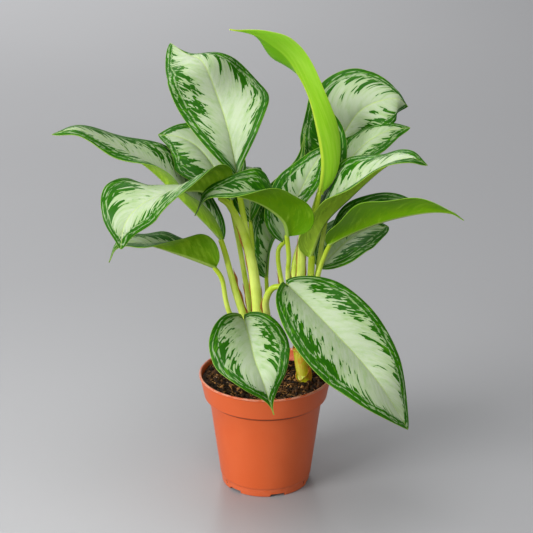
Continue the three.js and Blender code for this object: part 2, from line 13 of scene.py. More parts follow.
import bpy
import numpy as np
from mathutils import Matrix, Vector


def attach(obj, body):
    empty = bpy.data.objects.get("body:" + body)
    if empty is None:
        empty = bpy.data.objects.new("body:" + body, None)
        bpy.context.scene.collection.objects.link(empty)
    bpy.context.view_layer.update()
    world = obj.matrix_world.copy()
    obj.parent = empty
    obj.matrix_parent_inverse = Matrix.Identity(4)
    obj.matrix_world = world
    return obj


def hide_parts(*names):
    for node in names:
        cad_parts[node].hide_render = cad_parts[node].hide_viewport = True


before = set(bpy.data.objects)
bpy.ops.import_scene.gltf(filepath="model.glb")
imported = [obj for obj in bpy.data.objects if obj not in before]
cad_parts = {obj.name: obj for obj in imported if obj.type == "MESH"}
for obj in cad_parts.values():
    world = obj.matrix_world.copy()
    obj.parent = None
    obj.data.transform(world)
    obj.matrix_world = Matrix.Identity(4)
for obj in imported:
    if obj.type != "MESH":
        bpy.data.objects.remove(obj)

LOG = logging.getLogger("evergreen")
MM = 0.001
TURN = 2.0 * math.pi

# Distance in mm between the side veins of a blade, in its form and in its finish.
VEIN_SPACING = 7.5

Pair = tuple[float, float]
Triple = tuple[float, float, float]
Colour = tuple[float, float, float]
Array = np.ndarray
Socket = bpy.types.NodeSocket
Material = bpy.types.Material

# Height that the sum of the crossed waves seldom passes.
RIPPLE_HEIGHT = 1.4

# The rings that round off the end of a stem, outermost first: share of the radius, and how far
# they stand out in radii.
CAP_REACH = (0.35, 0.8)
CAP_PUSH = (0.5, 0.3)

# The direction from which the section of every stem and strip is turned.
SIDEWAYS = np.array([1.0, 0.15, 0.0])


class Side(Enum):
    """The two shoots."""

    LEFT = "left"
    RIGHT = "right"


class Slot(Enum):
    """The record's material slots."""

    POT = "pot_plastic"
    SOIL = "soil_peat"
    STALK = "stalk_green"
    VARIEGATED = "leaf_variegated"
    YOUNG = "leaf_young"


# ------------------------------------------------------------------ tables of the plant


@dataclass(frozen=True)
class Half:
    """One half of a blade, from the midrib to the margin.

    It has its greatest width in mm, its folds up in degrees from stalk to tip, and the outline:
    where its belly lies, how full it is, how far it narrows to a drip tip beyond which share of
    the midrib, and over which share it grows out of a tapered foot.
    """

    width: float
    fold: tuple[float, ...]
    belly: float = 0.85
    fullness: float = 0.72
    point: float = 0.3
    point_from: float = 0.55
    taper: float = 0.0


@dataclass(frozen=True)
class Leaf:
    """One leaf: midrib from stalk to tip, the way it faces, its halves and its stalk.

    The wave of the margin is a share of the half's width, the edge's roll is in degrees, and
    the lobe is how far in mm the blade's foot reaches back past its stalk.
    """

    name: str
    side: Side
    midrib: tuple[Triple, ...]
    facing: tuple[Triple, ...]
    left: Half
    right: Half
    stalk: tuple[Triple, ...]
    stalk_radii: tuple[float, ...]
    young: bool = False
    wave_height: float = 0.08
    edge_roll: float = 15.0
    lobe: float = 0.0


@dataclass(frozen=True)
class Marks:
    """Where the dark bands of a blade begin, as shares of each half from stalk to tip."""

    left: tuple[float, ...]
    right: tuple[float, ...]
    # shade above 0 makes a blade's silver greener and its underside darker; below 0 it pales the
    # underside with painted light for light shining through the blade.
    shade: float = 0.0


LEAVES = (
    Leaf(
        name="leaf_tall_left",
        side=Side.LEFT,
        midrib=(
            (-24, 12, 281), (-31.4, 16, 323.6), (-41.6, 27.5, 353.9), (-54.1, 34.3, 382),
            (-69.4, 58.9, 383.8), (-84.3, 77.7, 389.2),
        ),
        facing=((0.3, -0.85, 0.45), (0.25, -0.8, 0.5), (0.2, -0.6, 0.75)),
        left=Half(width=37.6, fold=(59, 13, 7, 1, -5), belly=1.19, fullness=0.69, point=0),
        right=Half(
            width=49.1, fold=(79, 63, 1, 11, -13), belly=1.12, fullness=1.17, point=0.95,
            point_from=0.35,
        ),
        stalk=((-21, 11, 259), (-17, 9, 236), (-10, 4, 193), (-5, 3, 126)),
        stalk_radii=(2.6, 3, 3.6),
        wave_height=0.0,
    ),
    Leaf(
        name="leaf_long_left",
        side=Side.LEFT,
        midrib=(
            (-37, 0, 232), (-52, 8, 246), (-76, 18, 267), (-101, 16, 293), (-130, 10, 315),
            (-159, 3, 331), (-182, -2, 328),
        ),
        facing=((0.8, 0.05, 0.6), (0.5, 0, 0.8), (0.3, 0, 0.95), (0, 0, 1), (0, 0, 1)),
        left=Half(width=33, fold=(50, 48, 32, 2, -15)),
        right=Half(width=34, fold=(55, 50, 42, 18, 10), point=0.1),
        stalk=((-35, -1, 218), (-27, -1, 185), (-18, 1, 154), (-7, 5, 113)),
        stalk_radii=(2.4, 3.2, 4),
    ),
    Leaf(
        name="leaf_back_left",
        side=Side.LEFT,
        midrib=((-30, 14, 263), (-45, 26, 290), (-60, 36, 306), (-77, 43, 313), (-95, 46, 314)),
        facing=((0.3, -0.8, 0.5), (0.3, -0.75, 0.6), (0.2, -0.6, 0.8)),
        left=Half(width=30, fold=(25, 5, -5), belly=1.15),
        right=Half(width=30, fold=(30, 35, 15)),
        stalk=((-24, 12, 227), (-17, 10, 184), (-6, 6, 113)),
        stalk_radii=(2.2, 2.4, 3.5),
        wave_height=0.0,
    ),
    Leaf(
        name="leaf_pale_left",
        side=Side.LEFT,
        midrib=(
            (-37, -12, 276), (-58, -34, 289), (-83, -54, 292), (-104, -64, 284),
            (-116, -70, 270), (-120, -72, 249),
        ),
        facing=(
            (0.5, 0.2, 0.85), (0.1, 0.05, 1), (-0.1, -0.35, 0.95), (0, -0.85, 0.5),
            (0, -0.95, 0.3),
        ),
        left=Half(
            width=40, fold=(80, 66, 47, 57, 35), fullness=0.55, point=0.62, point_from=0.68,
        ),
        right=Half(
            width=45, fold=(30, 8, -5, -8, 3), belly=1.2, fullness=0.7, point=0.6,
            point_from=0.72,
        ),
        stalk=((-30, -10, 265), (-18, -5, 236), (-10, -2, 198), (-5, 4, 130)),
        stalk_radii=(2.8, 4.4, 5.8),
        wave_height=0.03,
    ),
    Leaf(
        name="leaf_low_left",
        side=Side.LEFT,
        midrib=(
            (-43, -8, 210), (-69, -18, 224), (-96, -28, 237), (-117, -33, 241), (-128, -36, 237),
            (-134, -38, 225),
        ),
        facing=((0.4, 0.2, 0.85), (0, 0.1, 1), (-0.1, 0, 1), (-0.3, -0.1, 0.95), (-0.9, -0.2, 0.4)),
        left=Half(width=28, fold=(75, 82, 40, 25, 10), belly=0.7, point=0.6),
        right=Half(width=28, fold=(60, 42, 28, 20, 10), belly=0.7, point=0.6),
        stalk=((-38, -8, 197), (-32, -5, 165), (-10, 4, 113)),
        stalk_radii=(2.1, 2.3, 3.4),
    ),
    Leaf(
        name="leaf_back",
        side=Side.LEFT,
        midrib=((-14, 16, 243), (-14, 28, 263), (-14, 42, 275), (-12, 58, 280), (-9, 72, 272)),
        facing=((-0.2, -0.8, 0.6), (0, -0.5, 0.9), (0, 0.3, 1)),
        left=Half(width=19, fold=(40, 20, 10)),
        right=Half(width=14, fold=(40, 20, 10)),
        stalk=((-12, 14, 226), (-9, 11, 171), (-5, 6, 116)),
        stalk_radii=(1.8, 2.2, 3),
    ),
    Leaf(
        name="leaf_back_middle",
        side=Side.LEFT,
        midrib=(
            (0, 16, 190), (2, 23, 212), (7, 29, 233), (17, 32, 265), (30, 32, 295),
            (34, 32, 319),
        ),
        facing=((-0.4, -0.8, 0.5), (-0.5, -0.8, 0.5), (-0.2, -0.8, 0.5)),
        left=Half(width=23, fold=(30, 24, 15), belly=0.7, point=0.88, point_from=0.4),
        right=Half(width=20, fold=(75, 68, 25, 10, 10), point=0.8, point_from=0.4),
        stalk=((1, 14, 173), (-1, 8, 144), (-4, 5, 117)),
        stalk_radii=(1.8, 2.2, 3),
    ),
    Leaf(
        name="leaf_front_left",
        side=Side.LEFT,
        midrib=(
            (-19, -28, 168), (-13.3, -57, 160.5), (-8.7, -78.4, 151), (-2.4, -93.7, 139.6),
            (7.1, -97, 109.4),
        ),
        facing=((0, -0.3, 0.95), (0, -0.7, 0.7), (0.1, -0.95, 0.3)),
        left=Half(width=32.1, fold=(46, 34, 31, 23, 7), belly=0.86, fullness=0.5, point=0.95),
        right=Half(width=38.6, fold=(61, 43, 31, 38, 28), belly=0.75, fullness=0.82, point=0.95),
        stalk=((-15, -16, 161), (-7, 2, 124)),
        stalk_radii=(2.2, 3),
        wave_height=0.03,
        lobe=6.5,
    ),
    Leaf(
        name="leaf_front_right",
        side=Side.LEFT,
        midrib=(
            (18, -26, 201), (36, -53, 192), (59, -74, 174.5), (80, -88, 155.5),
            (98, -101, 136), (119.7, -107, 100.8),
        ),
        facing=((0.3, -0.4, 0.85), (0.35, -0.45, 0.8), (0.5, -0.5, 0.6)),
        left=Half(width=38.6, fold=(49, 43, 37, 29, 16), belly=0.75, fullness=0.71, point=0),
        right=Half(width=45.2, fold=(26, 17, 13, 12, 30), belly=0.86, fullness=0.85, point=0),
        stalk=((6, -22, 195), (0, -14, 179), (1, -6, 159), (-3, 3, 124)),
        stalk_radii=(2.9, 3.3, 4.2),
        wave_height=0.015,
        lobe=3.7,
    ),
    Leaf(
        name="leaf_middle",
        side=Side.RIGHT,
        midrib=(
            (20, -25, 244), (15, -33, 262), (-3, -44, 280), (-26, -55, 291), (-48, -60, 291),
            (-59, -62, 275),
        ),
        facing=((1, 0, 0.2), (0.6, 0.1, 0.8), (0, 0.1, 1), (-0.3, 0, 0.95), (-0.9, -0.1, 0.3)),
        left=Half(width=33, fold=(85, 70, 38, 24, 10), belly=0.7, point=0.5),
        right=Half(width=31, fold=(30, 40, 65, 35, 10), belly=0.7, point=0.5),
        stalk=((20, -22, 224), (20, -11, 196), (28, 3, 135)),
        stalk_radii=(2.1, 2.3, 3),
    ),
    Leaf(
        name="leaf_centre",
        side=Side.RIGHT,
        midrib=((16, 4, 228), (21, 10, 252), (31, 15, 273), (43, 21, 295), (57, 27, 312)),
        facing=((-0.35, -0.8, 0.5),),
        left=Half(width=24, fold=(45, 38, 32, 22, 10), belly=0.7),
        right=Half(width=20, fold=(60, 60, 50, 30, 20)),
        stalk=((11, 4, 219), (14, 4, 192), (27, 5, 135)),
        stalk_radii=(2, 2.2, 3),
    ),
    Leaf(
        name="leaf_new_rolled",
        side=Side.RIGHT,
        midrib=(
            (48, 4, 272), (50, 3, 302), (45, 1, 333), (36, 0, 365), (20, 0, 392), (1, 0, 408),
            (-13, 0, 415), (-30, 0, 418),
        ),
        facing=((1, 0, 0), (1, 0, 0.2), (0.9, 0, 0.45), (0.66, 0, 0.75), (0, 0, 1)),
        left=Half(
            width=17.5, fold=(68, 60, 22, 48, 30), belly=0.9, fullness=0.42, point=0.94,
            point_from=0.74, taper=0.035,
        ),
        right=Half(
            width=17, fold=(58, 46, 6, -75, -10), belly=1.2, fullness=0.5, point=0.9,
            point_from=0.74, taper=0.035,
        ),
        stalk=((43, 3, 258), (33, 3, 238), (31, 3, 202), (31, 4, 133)),
        stalk_radii=(2.4, 4.0, 4.6),
        young=True,
        wave_height=0.0,
        edge_roll=-30.0,
    ),
    Leaf(
        name="leaf_upper_right",
        side=Side.RIGHT,
        midrib=(
            (63, 86, 288), (69, 93, 297), (83, 87.5, 322), (99, 84, 333.5),
            (118, 82, 337.4), (129.2, 90, 328.1),
        ),
        facing=((-0.1, -0.95, 0.3), (-0.1, -0.9, 0.4), (0, -0.8, 0.6)),
        left=Half(width=43.7, fold=(21, 19, 5, -8, -21), belly=0.75, fullness=1, point=0.29),
        right=Half(width=30.7, fold=(42, 36, 30, 22, -1), belly=1.32, fullness=0.92, point=0),
        stalk=((51, 70, 262), (37, 39, 222), (33, 13, 184), (34, 4, 130)),
        stalk_radii=(1.8, 1.9, 3),
        wave_height=0.0,
    ),
    Leaf(
        name="leaf_behind_new",
        side=Side.RIGHT,
        midrib=((57, 28, 270), (55, 36, 295), (51, 43, 320), (40, 50, 352)),
        facing=((-0.1, -0.85, 0.5),),
        left=Half(width=23, fold=(30, 20, 15)),
        right=Half(width=18, fold=(25, 15, 10)),
        stalk=((47, 26, 243), (34, 20, 227), (26, 9, 205), (26, 7, 168), (30, 5, 139)),
        stalk_radii=(2.0, 3.0, 3.2, 3.4),
    ),
    Leaf(
        name="leaf_tucked_right",
        side=Side.RIGHT,
        midrib=((64, 40, 279), (78, 47, 295), (93, 54, 307), (111, 58, 315), (129, 62, 316)),
        facing=((-0.1, -0.6, 0.8), (-0.1, -0.6, 0.8), (0, -0.6, 0.8)),
        left=Half(width=23, fold=(5, -10, -8, 0)),
        right=Half(width=26, fold=(45, 38, 20)),
        stalk=((57, 33, 258), (50, 20, 222), (44, 10, 182), (34, 6, 134)),
        stalk_radii=(1.9, 2.2, 3),
        wave_height=0.01,
    ),
    Leaf(
        name="leaf_arching_right",
        side=Side.RIGHT,
        midrib=(
            (38, 0, 216), (50, -8, 250), (72, -16, 277), (100, -30, 308), (120, -38, 318),
            (135, -40, 312),
        ),
        facing=((-0.85, 0.1, 0.6), (-0.45, 0.1, 0.9), (0.3, -0.3, 0.9)),
        left=Half(width=36, fold=(45, 45, 54, 28, 10)),
        right=Half(width=33, fold=(65, 42, 34, 25, 10)),
        stalk=((40, 0, 201), (39, 2, 175), (33, 4, 135)),
        stalk_radii=(3.0, 3.6, 3.9),
    ),
    Leaf(
        name="leaf_long_right",
        side=Side.RIGHT,
        midrib=(
            (54, -8, 231), (75, -18, 246), (104, -32, 262), (134, -46, 273), (154, -54, 275),
            (165, -58, 270),
        ),
        facing=((-0.6, 0.1, 0.8), (-0.3, 0.05, 1), (-0.1, 0, 1), (0, 0, 1), (0.1, 0, 1)),
        left=Half(width=33, fold=(55, 70, 30, 0, -10)),
        right=Half(width=33, fold=(55, 55, 60, 62, 35)),
        stalk=((52, -7, 221), (46, -5, 200), (34, 3, 133)),
        stalk_radii=(2, 2.2, 3),
    ),
    Leaf(
        name="leaf_low_right",
        side=Side.RIGHT,
        midrib=((47, 14, 200), (62, 24, 212), (77, 34, 222), (94, 42, 228), (111, 50, 227)),
        facing=((-0.3, -0.5, 0.8), (-0.3, -0.5, 0.8), (0, -0.5, 0.8)),
        left=Half(width=30, fold=(30, 15, 10)),
        right=Half(width=30, fold=(30, 28, 30), fullness=0.6, point=0.1),
        stalk=((45, 12, 190), (34, 5, 133)),
        stalk_radii=(2, 2.2, 3),
        wave_height=0.02,
    ),
)

MARKS: dict[str, Marks] = {
    "leaf_tall_left": Marks((0.85, 0.74, 0.66, 0.58, 0.56, 0.58, 0.4),
                            (0.95, 0.9, 0.8, 0.62, 0.5, 0.52, 0.8)),
    "leaf_long_left": Marks((0.8, 0.7, 0.65, 0.6, 0.45, 0.1),
                            (0.8, 0.62, 0.65, 0.5, 0.4, 0.1), -0.3),
    "leaf_back_left": Marks((0.5, 0.42, 0.42, 0.5, 0.6), (0.95, 0.92, 0.85, 0.8)),
    "leaf_pale_left": Marks((0.85, 0.72, 0.64, 0.64, 0.6, 0.5),
                            (1.0, 0.9, 0.75, 0.55, 0.5, 0.5)),
    "leaf_low_left": Marks((0.5, 0.5, 0.5, 0.5), (0.5, 0.45, 0.4, 0.4)),
    "leaf_back": Marks((0.3, 0.3), (0.3, 0.3), 0.4),
    "leaf_back_middle": Marks((0.3, 0.35, 0.45, 0.45), (0.3, 0.35, 0.4, 0.4), 0.4),
    "leaf_front_left": Marks((0.62, 0.55, 0.52, 0.56, 0.68, 0.8),
                             (0.78, 0.68, 0.64, 0.66, 0.7, 0.8)),
    "leaf_front_right": Marks((0.66, 0.6, 0.64, 0.66, 0.66, 0.66, 0.7),
                              (0.66, 0.62, 0.58, 0.62, 0.68, 0.7, 0.75)),
    "leaf_middle": Marks((0.4, 0.4, 0.4), (0.3, 0.25, 0.3, 0.3), 0.3),
    "leaf_centre": Marks((0.55, 0.5, 0.45, 0.4), (0.5, 0.45, 0.45, 0.4)),
    # The early marks on the rolled leaf's right half place its painted shade.
    "leaf_new_rolled": Marks((1.0, 1.0), (1.0, 1.0, 1.0, 0.8, 0.0, 0.0, 0.2)),
    "leaf_upper_right": Marks((0.9, 0.85, 0.62, 0.6, 0.62), (0.75, 0.7, 0.62, 0.6, 0.6)),
    "leaf_behind_new": Marks((0.1, 0.15, 0.3), (0.1, 0.15, 0.3), 0.5),
    "leaf_tucked_right": Marks((0.8, 0.75, 0.7, 0.6), (0.7, 0.62, 0.55, 0.5), 0.3),
    # The shade of −1.2 pales this blade's underside with painted light.
    "leaf_arching_right": Marks((0.62, 0.58, 0.55, 0.6, 0.6), (0.6, 0.55, 0.55, 0.55, 0.6), -1.2),
    "leaf_long_right": Marks((0.3, 0.3, 0.35, 0.4), (0.4, 0.4, 0.4), 0.3),
    "leaf_low_right": Marks((0.5, 0.4, 0.4, 0.5), (0.45, 0.3, 0.3, 0.4), 0.3),
}

# Dry sheath edges of a stalk: side, share where the loose tip stands, width in mm. The stalks
# that aren't named have the plain ones.
PLAIN_EDGES = ((1, 0.6, 0.9),)
SHEATHS: dict[str, tuple[tuple[int, float, float], ...]] = {
    "leaf_tall_left": ((-1, 0.5, 0.9), (1, 0.62, 0.9)),
    "leaf_long_left": ((1, 0.22, 2.1), (-1, 0.6, 0.9)),
    "leaf_back_left": ((-1, 0.5, 1.0),),
    "leaf_pale_left": ((-1, 0.2, 1.5), (1, 0.62, 1.0)),
    "leaf_low_left": ((1, 0.66, 1.8),),
    "leaf_front_right": ((-1, 0.3, 1.8), (1, 0.55, 1.2)),
    "leaf_front_left": ((-1, 0.3, 1.0),),
    "leaf_middle": ((1, 0.3, 1.0),),
    "leaf_centre": ((-1, 0.3, 1.1),),
    "leaf_new_rolled": ((-1, 0.3, 1.0), (1, 0.25, 1.0)),
    "leaf_arching_right": ((1, 0.35, 1.0),),
    "leaf_long_right": ((1, 0.4, 1.0),),
}

# Old sheaths wrapped round a cane: shares where they start and end, slant, heading in degrees.
WRAPS: dict[Side, tuple[tuple[float, float, float, float], ...]] = {
    Side.LEFT: ((0.44, 0.64, 0.035, 200.0), (0.56, 0.8, 0.045, 20.0), (0.72, 0.95, 0.05, 160.0)),
    Side.RIGHT: ((0.44, 0.62, 0.11, 30.0), (0.5, 0.78, 0.13, 220.0), (0.66, 0.93, 0.07, 20.0)),
}

# Middle lines of the canes, from in the peat to where the stalks part.
CANES: dict[Side, tuple[Triple, ...]] = {
    Side.LEFT: ((-5, 6, 58), (-5, 6, 93), (-5, 5, 113), (-5, 4, 132)),
    Side.RIGHT: ((36, 4, 58), (36, 4, 92), (33, 4, 113), (31, 4, 137)),
}


# ------------------------------------------------------------------ curves


class SmoothPath:
    """A smooth curve through points, walked by its length."""

    def __init__(self, points: Sequence[Triple], samples: int = 600) -> None:
        """Samples the curve and its length.

        Each stretch is the cubic whose ends have half the chord between their neighbours as
        their slope; beyond the ends a point mirrors the last stretch.

        Args:
            points: Places in mm that the curve passes.
            samples: How many places measure its length.
        """
        p = np.asarray(points, float)
        self.points = np.vstack([2 * p[0] - p[1], p, 2 * p[-1] - p[-2]])
        self.last = len(p) - 1
        self.knots = np.linspace(0.0, 1.0, samples)
        steps = np.diff(self._cubic(self.knots)[0], axis=0)
        run = np.concatenate([[0.0], np.cumsum(np.linalg.norm(steps, axis=1))])
        self.length = float(run[-1])
        self.run = run / run[-1]

    def _cubic(self, knots: Array) -> tuple[Array, Array]:
        """Places and slopes on the cubics.

        Args:
            knots: Parameters from 0 to 1, in which every stretch is of one length.

        Returns:
            Two arrays of one row for each parameter.
        """
        place = np.clip(knots * self.last, 0, self.last - 1e-9)
        i = place.astype(int)
        f = (place - i)[:, None]
        a, b, c, d = (self.points[i + k] for k in range(4))
        m0, m1 = (c - a) / 2, (d - b) / 2
        k2, k3 = 3 * (c - b) - 2 * m0 - m1, 2 * (b - c) + m0 + m1
        return b + f * (m0 + f * (k2 + f * k3)), m0 + f * (2 * k2 + 3 * f * k3)

    def at(self, share: Array) -> tuple[Array, Array]:
        """Places and unit directions.

        Args:
            share: Shares of the length, from 0 to 1.

        Returns:
            Two arrays of one row for each share.
        """
        place, slope = self._cubic(np.interp(share, self.run, self.knots))
        return place, unit(slope)


def unit(v: Array) -> Array:
    """The vectors along the last axis at length 1."""
    return v / np.maximum(np.linalg.norm(v, axis=-1, keepdims=True), 1e-12)


def mix(a: Array | float, b: Array | float, t: Array | float) -> Array | float:
    """a at t 0 and b at t 1."""
    return a + (b - a) * t


def halved(on_right: Array, left: Array, right: Array) -> Array:
    """A grid of each row's number for the left half and, on the right, for the right one."""
    return np.where(on_right, right[:, None], left[:, None])


def soft_step(low: float, high: float, t: Array) -> Array:
    """0 below low, 1 above high, and the cubic 3s² − 2s³ between."""
    s = np.clip((t - low) / (high - low), 0, 1)
    return s * s * (3 - 2 * s)


def square_to(ahead: Array) -> tuple[Array, Array]:
    """Two unit directions that are square to each given one and to each other.

    The first is the sideways direction less its share along the given one, and the second is
    the cross product of the two.

    Args:
        ahead: Rows of unit directions.

    Returns:
        Two arrays of one row for each direction.
    """
    across = unit(SIDEWAYS - ahead * (ahead @ SIDEWAYS)[:, None])
    return across, np.cross(ahead, across)


def run_through(values: Sequence, t: Array) -> Array:
    """A smooth run through evenly spaced values.

    Between two values it is the cubic whose end slopes are half the step between the
    neighbours; the end values stand for those beyond them.

    Args:
        values: Numbers, or rows of numbers.
        t: Shares of the run, from 0 to 1.

    Returns:
        One number, or one row, for each t.
    """
    v = np.asarray(values, float)
    last = len(v) - 1
    place = np.clip(t * last, 0, max(last - 1e-9, 0))
    i = place.astype(int)
    f = place - i
    f = f[..., None] if v.ndim > 1 else f
    a, b = v[i], v[np.minimum(i + 1, last)]
    before, after = v[np.maximum(i - 1, 0)], v[np.minimum(i + 2, last)]
    curve = 2 * before - 5 * a + 4 * b - after
    return a + 0.5 * f * (b - before + f * (curve + f * (3 * (a - b) + after - before)))


def ripples(points: Array, lengths: Sequence[float], seed: int) -> Array:
    """Seeded lumps from crossed waves.

    For each wave length the sine of the place along a random direction is multiplied by the
    sine along another, and shorter waves are lower in proportion.

    Args:
        points: Rows of places in mm.
        lengths: Wave lengths in mm.
        seed: Choice of directions and phases.

    Returns:
        Heights of about −1 to 1.
    """
    rng = np.random.default_rng(seed)
    total = np.zeros(len(points))
    for length in lengths:
        turns = unit(rng.normal(size=(4, points.shape[1]))) * TURN / length
        phase = rng.uniform(0, TURN, 4)
        waves = np.sin(points @ turns.T + phase)
        total += (waves[:, 0] * waves[:, 1] + waves[:, 2] * waves[:, 3]) * length / max(lengths)
    return total / RIPPLE_HEIGHT


# ------------------------------------------------------------------ meshes


@dataclass
class Skin:
    """Points in mm, faces as arrays of three or four corners, and values for each point."""

    points: Array
    faces: list[Array]
    values: dict[str, Array] = field(default_factory=dict)

    def joined(self, other: "Skin") -> "Skin":
        """This skin and another as one.

        Args:
            other: A skin that has the same values.

        Returns:
            The skin of both.
        """
        shift = len(self.points)
        values = {k: np.vstack([v, other.values[k]]) for k, v in self.values.items()}
        faces = self.faces + [f + shift for f in other.faces]
        return Skin(np.vstack([self.points, other.points]), faces, values)


def grid_faces(rows: int, columns: int, closed: bool = False, joined: bool = False) -> Array:
    """Four-cornered faces over a grid of points, facing columns × rows.

    Args:
        rows: Rows of points.
        columns: Points in a row.
        closed: Whether each row closes on itself.
        joined: Whether the last row joins the first one.

    Returns:
        Rows of four corners.
    """
    strips, cells = rows - (not joined), columns - (not closed)
    i, j = np.meshgrid(np.arange(strips), np.arange(cells), indexing="ij")
    k, n = (j + 1) % columns, (i + 1) % rows
    return np.stack(
        [i * columns + j, i * columns + k, n * columns + k, n * columns + j], -1
    ).reshape(-1, 4)


def bar_faces(rings: int) -> Array:
    """Faces of a bar of four-cornered rings, closed by a face at each end.

    Args:
        rings: How many rings there are.

    Returns:
        Rows of four corners.
    """
    last = (rings - 1) * 4
    caps = np.array([[3, 2, 1, 0], [last, last + 1, last + 2, last + 3]])
    return np.vstack([grid_faces(rings, 4, closed=True), caps])


def fan(ring: Array, middle: int, flipped: bool = False) -> Array:
    """Triangles from a closed ring of corners to one corner.

    Args:
        ring: The corners in order.
        middle: The one corner.
        flipped: Whether the triangles face the other way.

    Returns:
        Rows of three corners.
    """
    after = np.roll(ring, -1)
    middles = np.full_like(ring, middle)
    return np.stack([after, ring, middles] if flipped else [ring, after, middles], -1)


def merge(skins: Sequence[Skin]) -> Skin:
    """Many skins as one.

    Args:
        skins: Skins that have the same values.

    Returns:
        The skin of all.
    """
    whole = skins[0]
    for skin in skins[1:]:
        whole = whole.joined(skin)
    return whole


def toned(points: Array, faces: list[Array], tones: Array) -> Skin:
    """A skin whose points have tones, which stand where a stem has its seed."""
    blank = np.zeros_like(tones)
    return Skin(points, faces, {"stem": np.stack([blank, blank, tones], -1)})


def tube(path: SmoothPath, radii: Sequence[float], around: int, steps: int, seed: float,
         flat: float = 1.0) -> Skin:
    """A round or flattened stem along a path, rounded off at both ends.

    A ring turns round each place of the path, on the two directions square to it, with its
    radius run along the given values; each end shrinks over two more rings and is closed flat.

    Args:
        path: Middle line.
        radii: Radii in mm from start to end.
        around: Corners of a ring.
        steps: Rings.
        seed: Written to the values for the stem's own tone.
        flat: Depth over width of the section.

    Returns:
        A closed skin with the value stem: share along, angle and seed.
    """
    share = np.concatenate([[0.0] * 2, np.linspace(0, 1, steps), [1.0] * 2])
    place, ahead = path.at(share)
    radius = run_through(radii, share)
    cap, push = np.ones(len(share)), np.zeros(len(share))
    cap[[0, 1, -1, -2]] = [*CAP_REACH, *CAP_REACH]
    push[[-1, -2]] = CAP_PUSH
    push[[0, 1]] = np.negative(CAP_PUSH)
    place = place + ahead * (push * radius)[:, None]
    across, deep = square_to(ahead)
    angle = np.linspace(0, TURN, around, endpoint=False)
    reach = (radius * cap)[:, None, None]
    ring = reach * (
        across[:, None] * np.cos(angle)[None, :, None]
        + flat * deep[:, None] * np.sin(angle)[None, :, None]
    )
    grid = (place[:, None] + ring).reshape(-1, 3)
    rows = len(share)
    ends_at = np.array([place[0], place[-1]])
    faces = [
        grid_faces(rows, around, closed=True),
        fan(np.arange(around), rows * around, flipped=True),
        fan(np.arange(around) + (rows - 1) * around, rows * around + 1),
    ]
    stem = np.stack(
        [np.repeat(share, around), np.tile(angle, rows), np.full(rows * around, seed)], -1
    )
    stem = np.vstack([stem, [[share[0], 0, seed], [share[-1], 0, seed]]])
    return Skin(np.vstack([grid, ends_at]), faces, {"stem": stem})


def make_piece(name: str, skin: Skin, finish: Material,
               nodes: Sequence[str] = ()) -> bpy.types.Object:
    """Puts a skin into a mesh object that rides on the part.

    Args:
        name: Name of the piece.
        skin: Its points, faces and values.
        finish: Its material.
        nodes: The nodes that it stands for.

    Returns:
        The object, at the origin.
    """
    mesh = bpy.data.meshes.new(name)
    mesh.vertices.add(len(skin.points))
    mesh.vertices.foreach_set("co", (skin.points * MM).astype(np.float32).ravel())
    corners = np.concatenate([f.ravel() for f in skin.faces])
    sizes = np.concatenate([np.full(len(f), f.shape[1]) for f in skin.faces])
    starts = np.concatenate([[0], np.cumsum(sizes)[:-1]])
    mesh.loops.add(len(corners))
    mesh.loops.foreach_set("vertex_index", corners.astype(np.int32))
    mesh.polygons.add(len(sizes))
    mesh.polygons.foreach_set("loop_start", starts.astype(np.int32))
    mesh.update(calc_edges=True)
    mesh.validate()
    for key, rows in skin.values.items():
        values = mesh.attributes.new(key, "FLOAT_VECTOR", "POINT")
        values.data.foreach_set("vector", rows.astype(np.float32).ravel())
    mesh.shade_smooth()
    mesh.materials.append(finish)
    piece = bpy.data.objects.new(name, mesh)
    bpy.context.scene.collection.objects.link(piece)
    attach(piece, "root")
    if nodes:
        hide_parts(*nodes)
    LOG.info("%s: %d faces", name, len(sizes))
    return piece


# ------------------------------------------------------------------ finishes


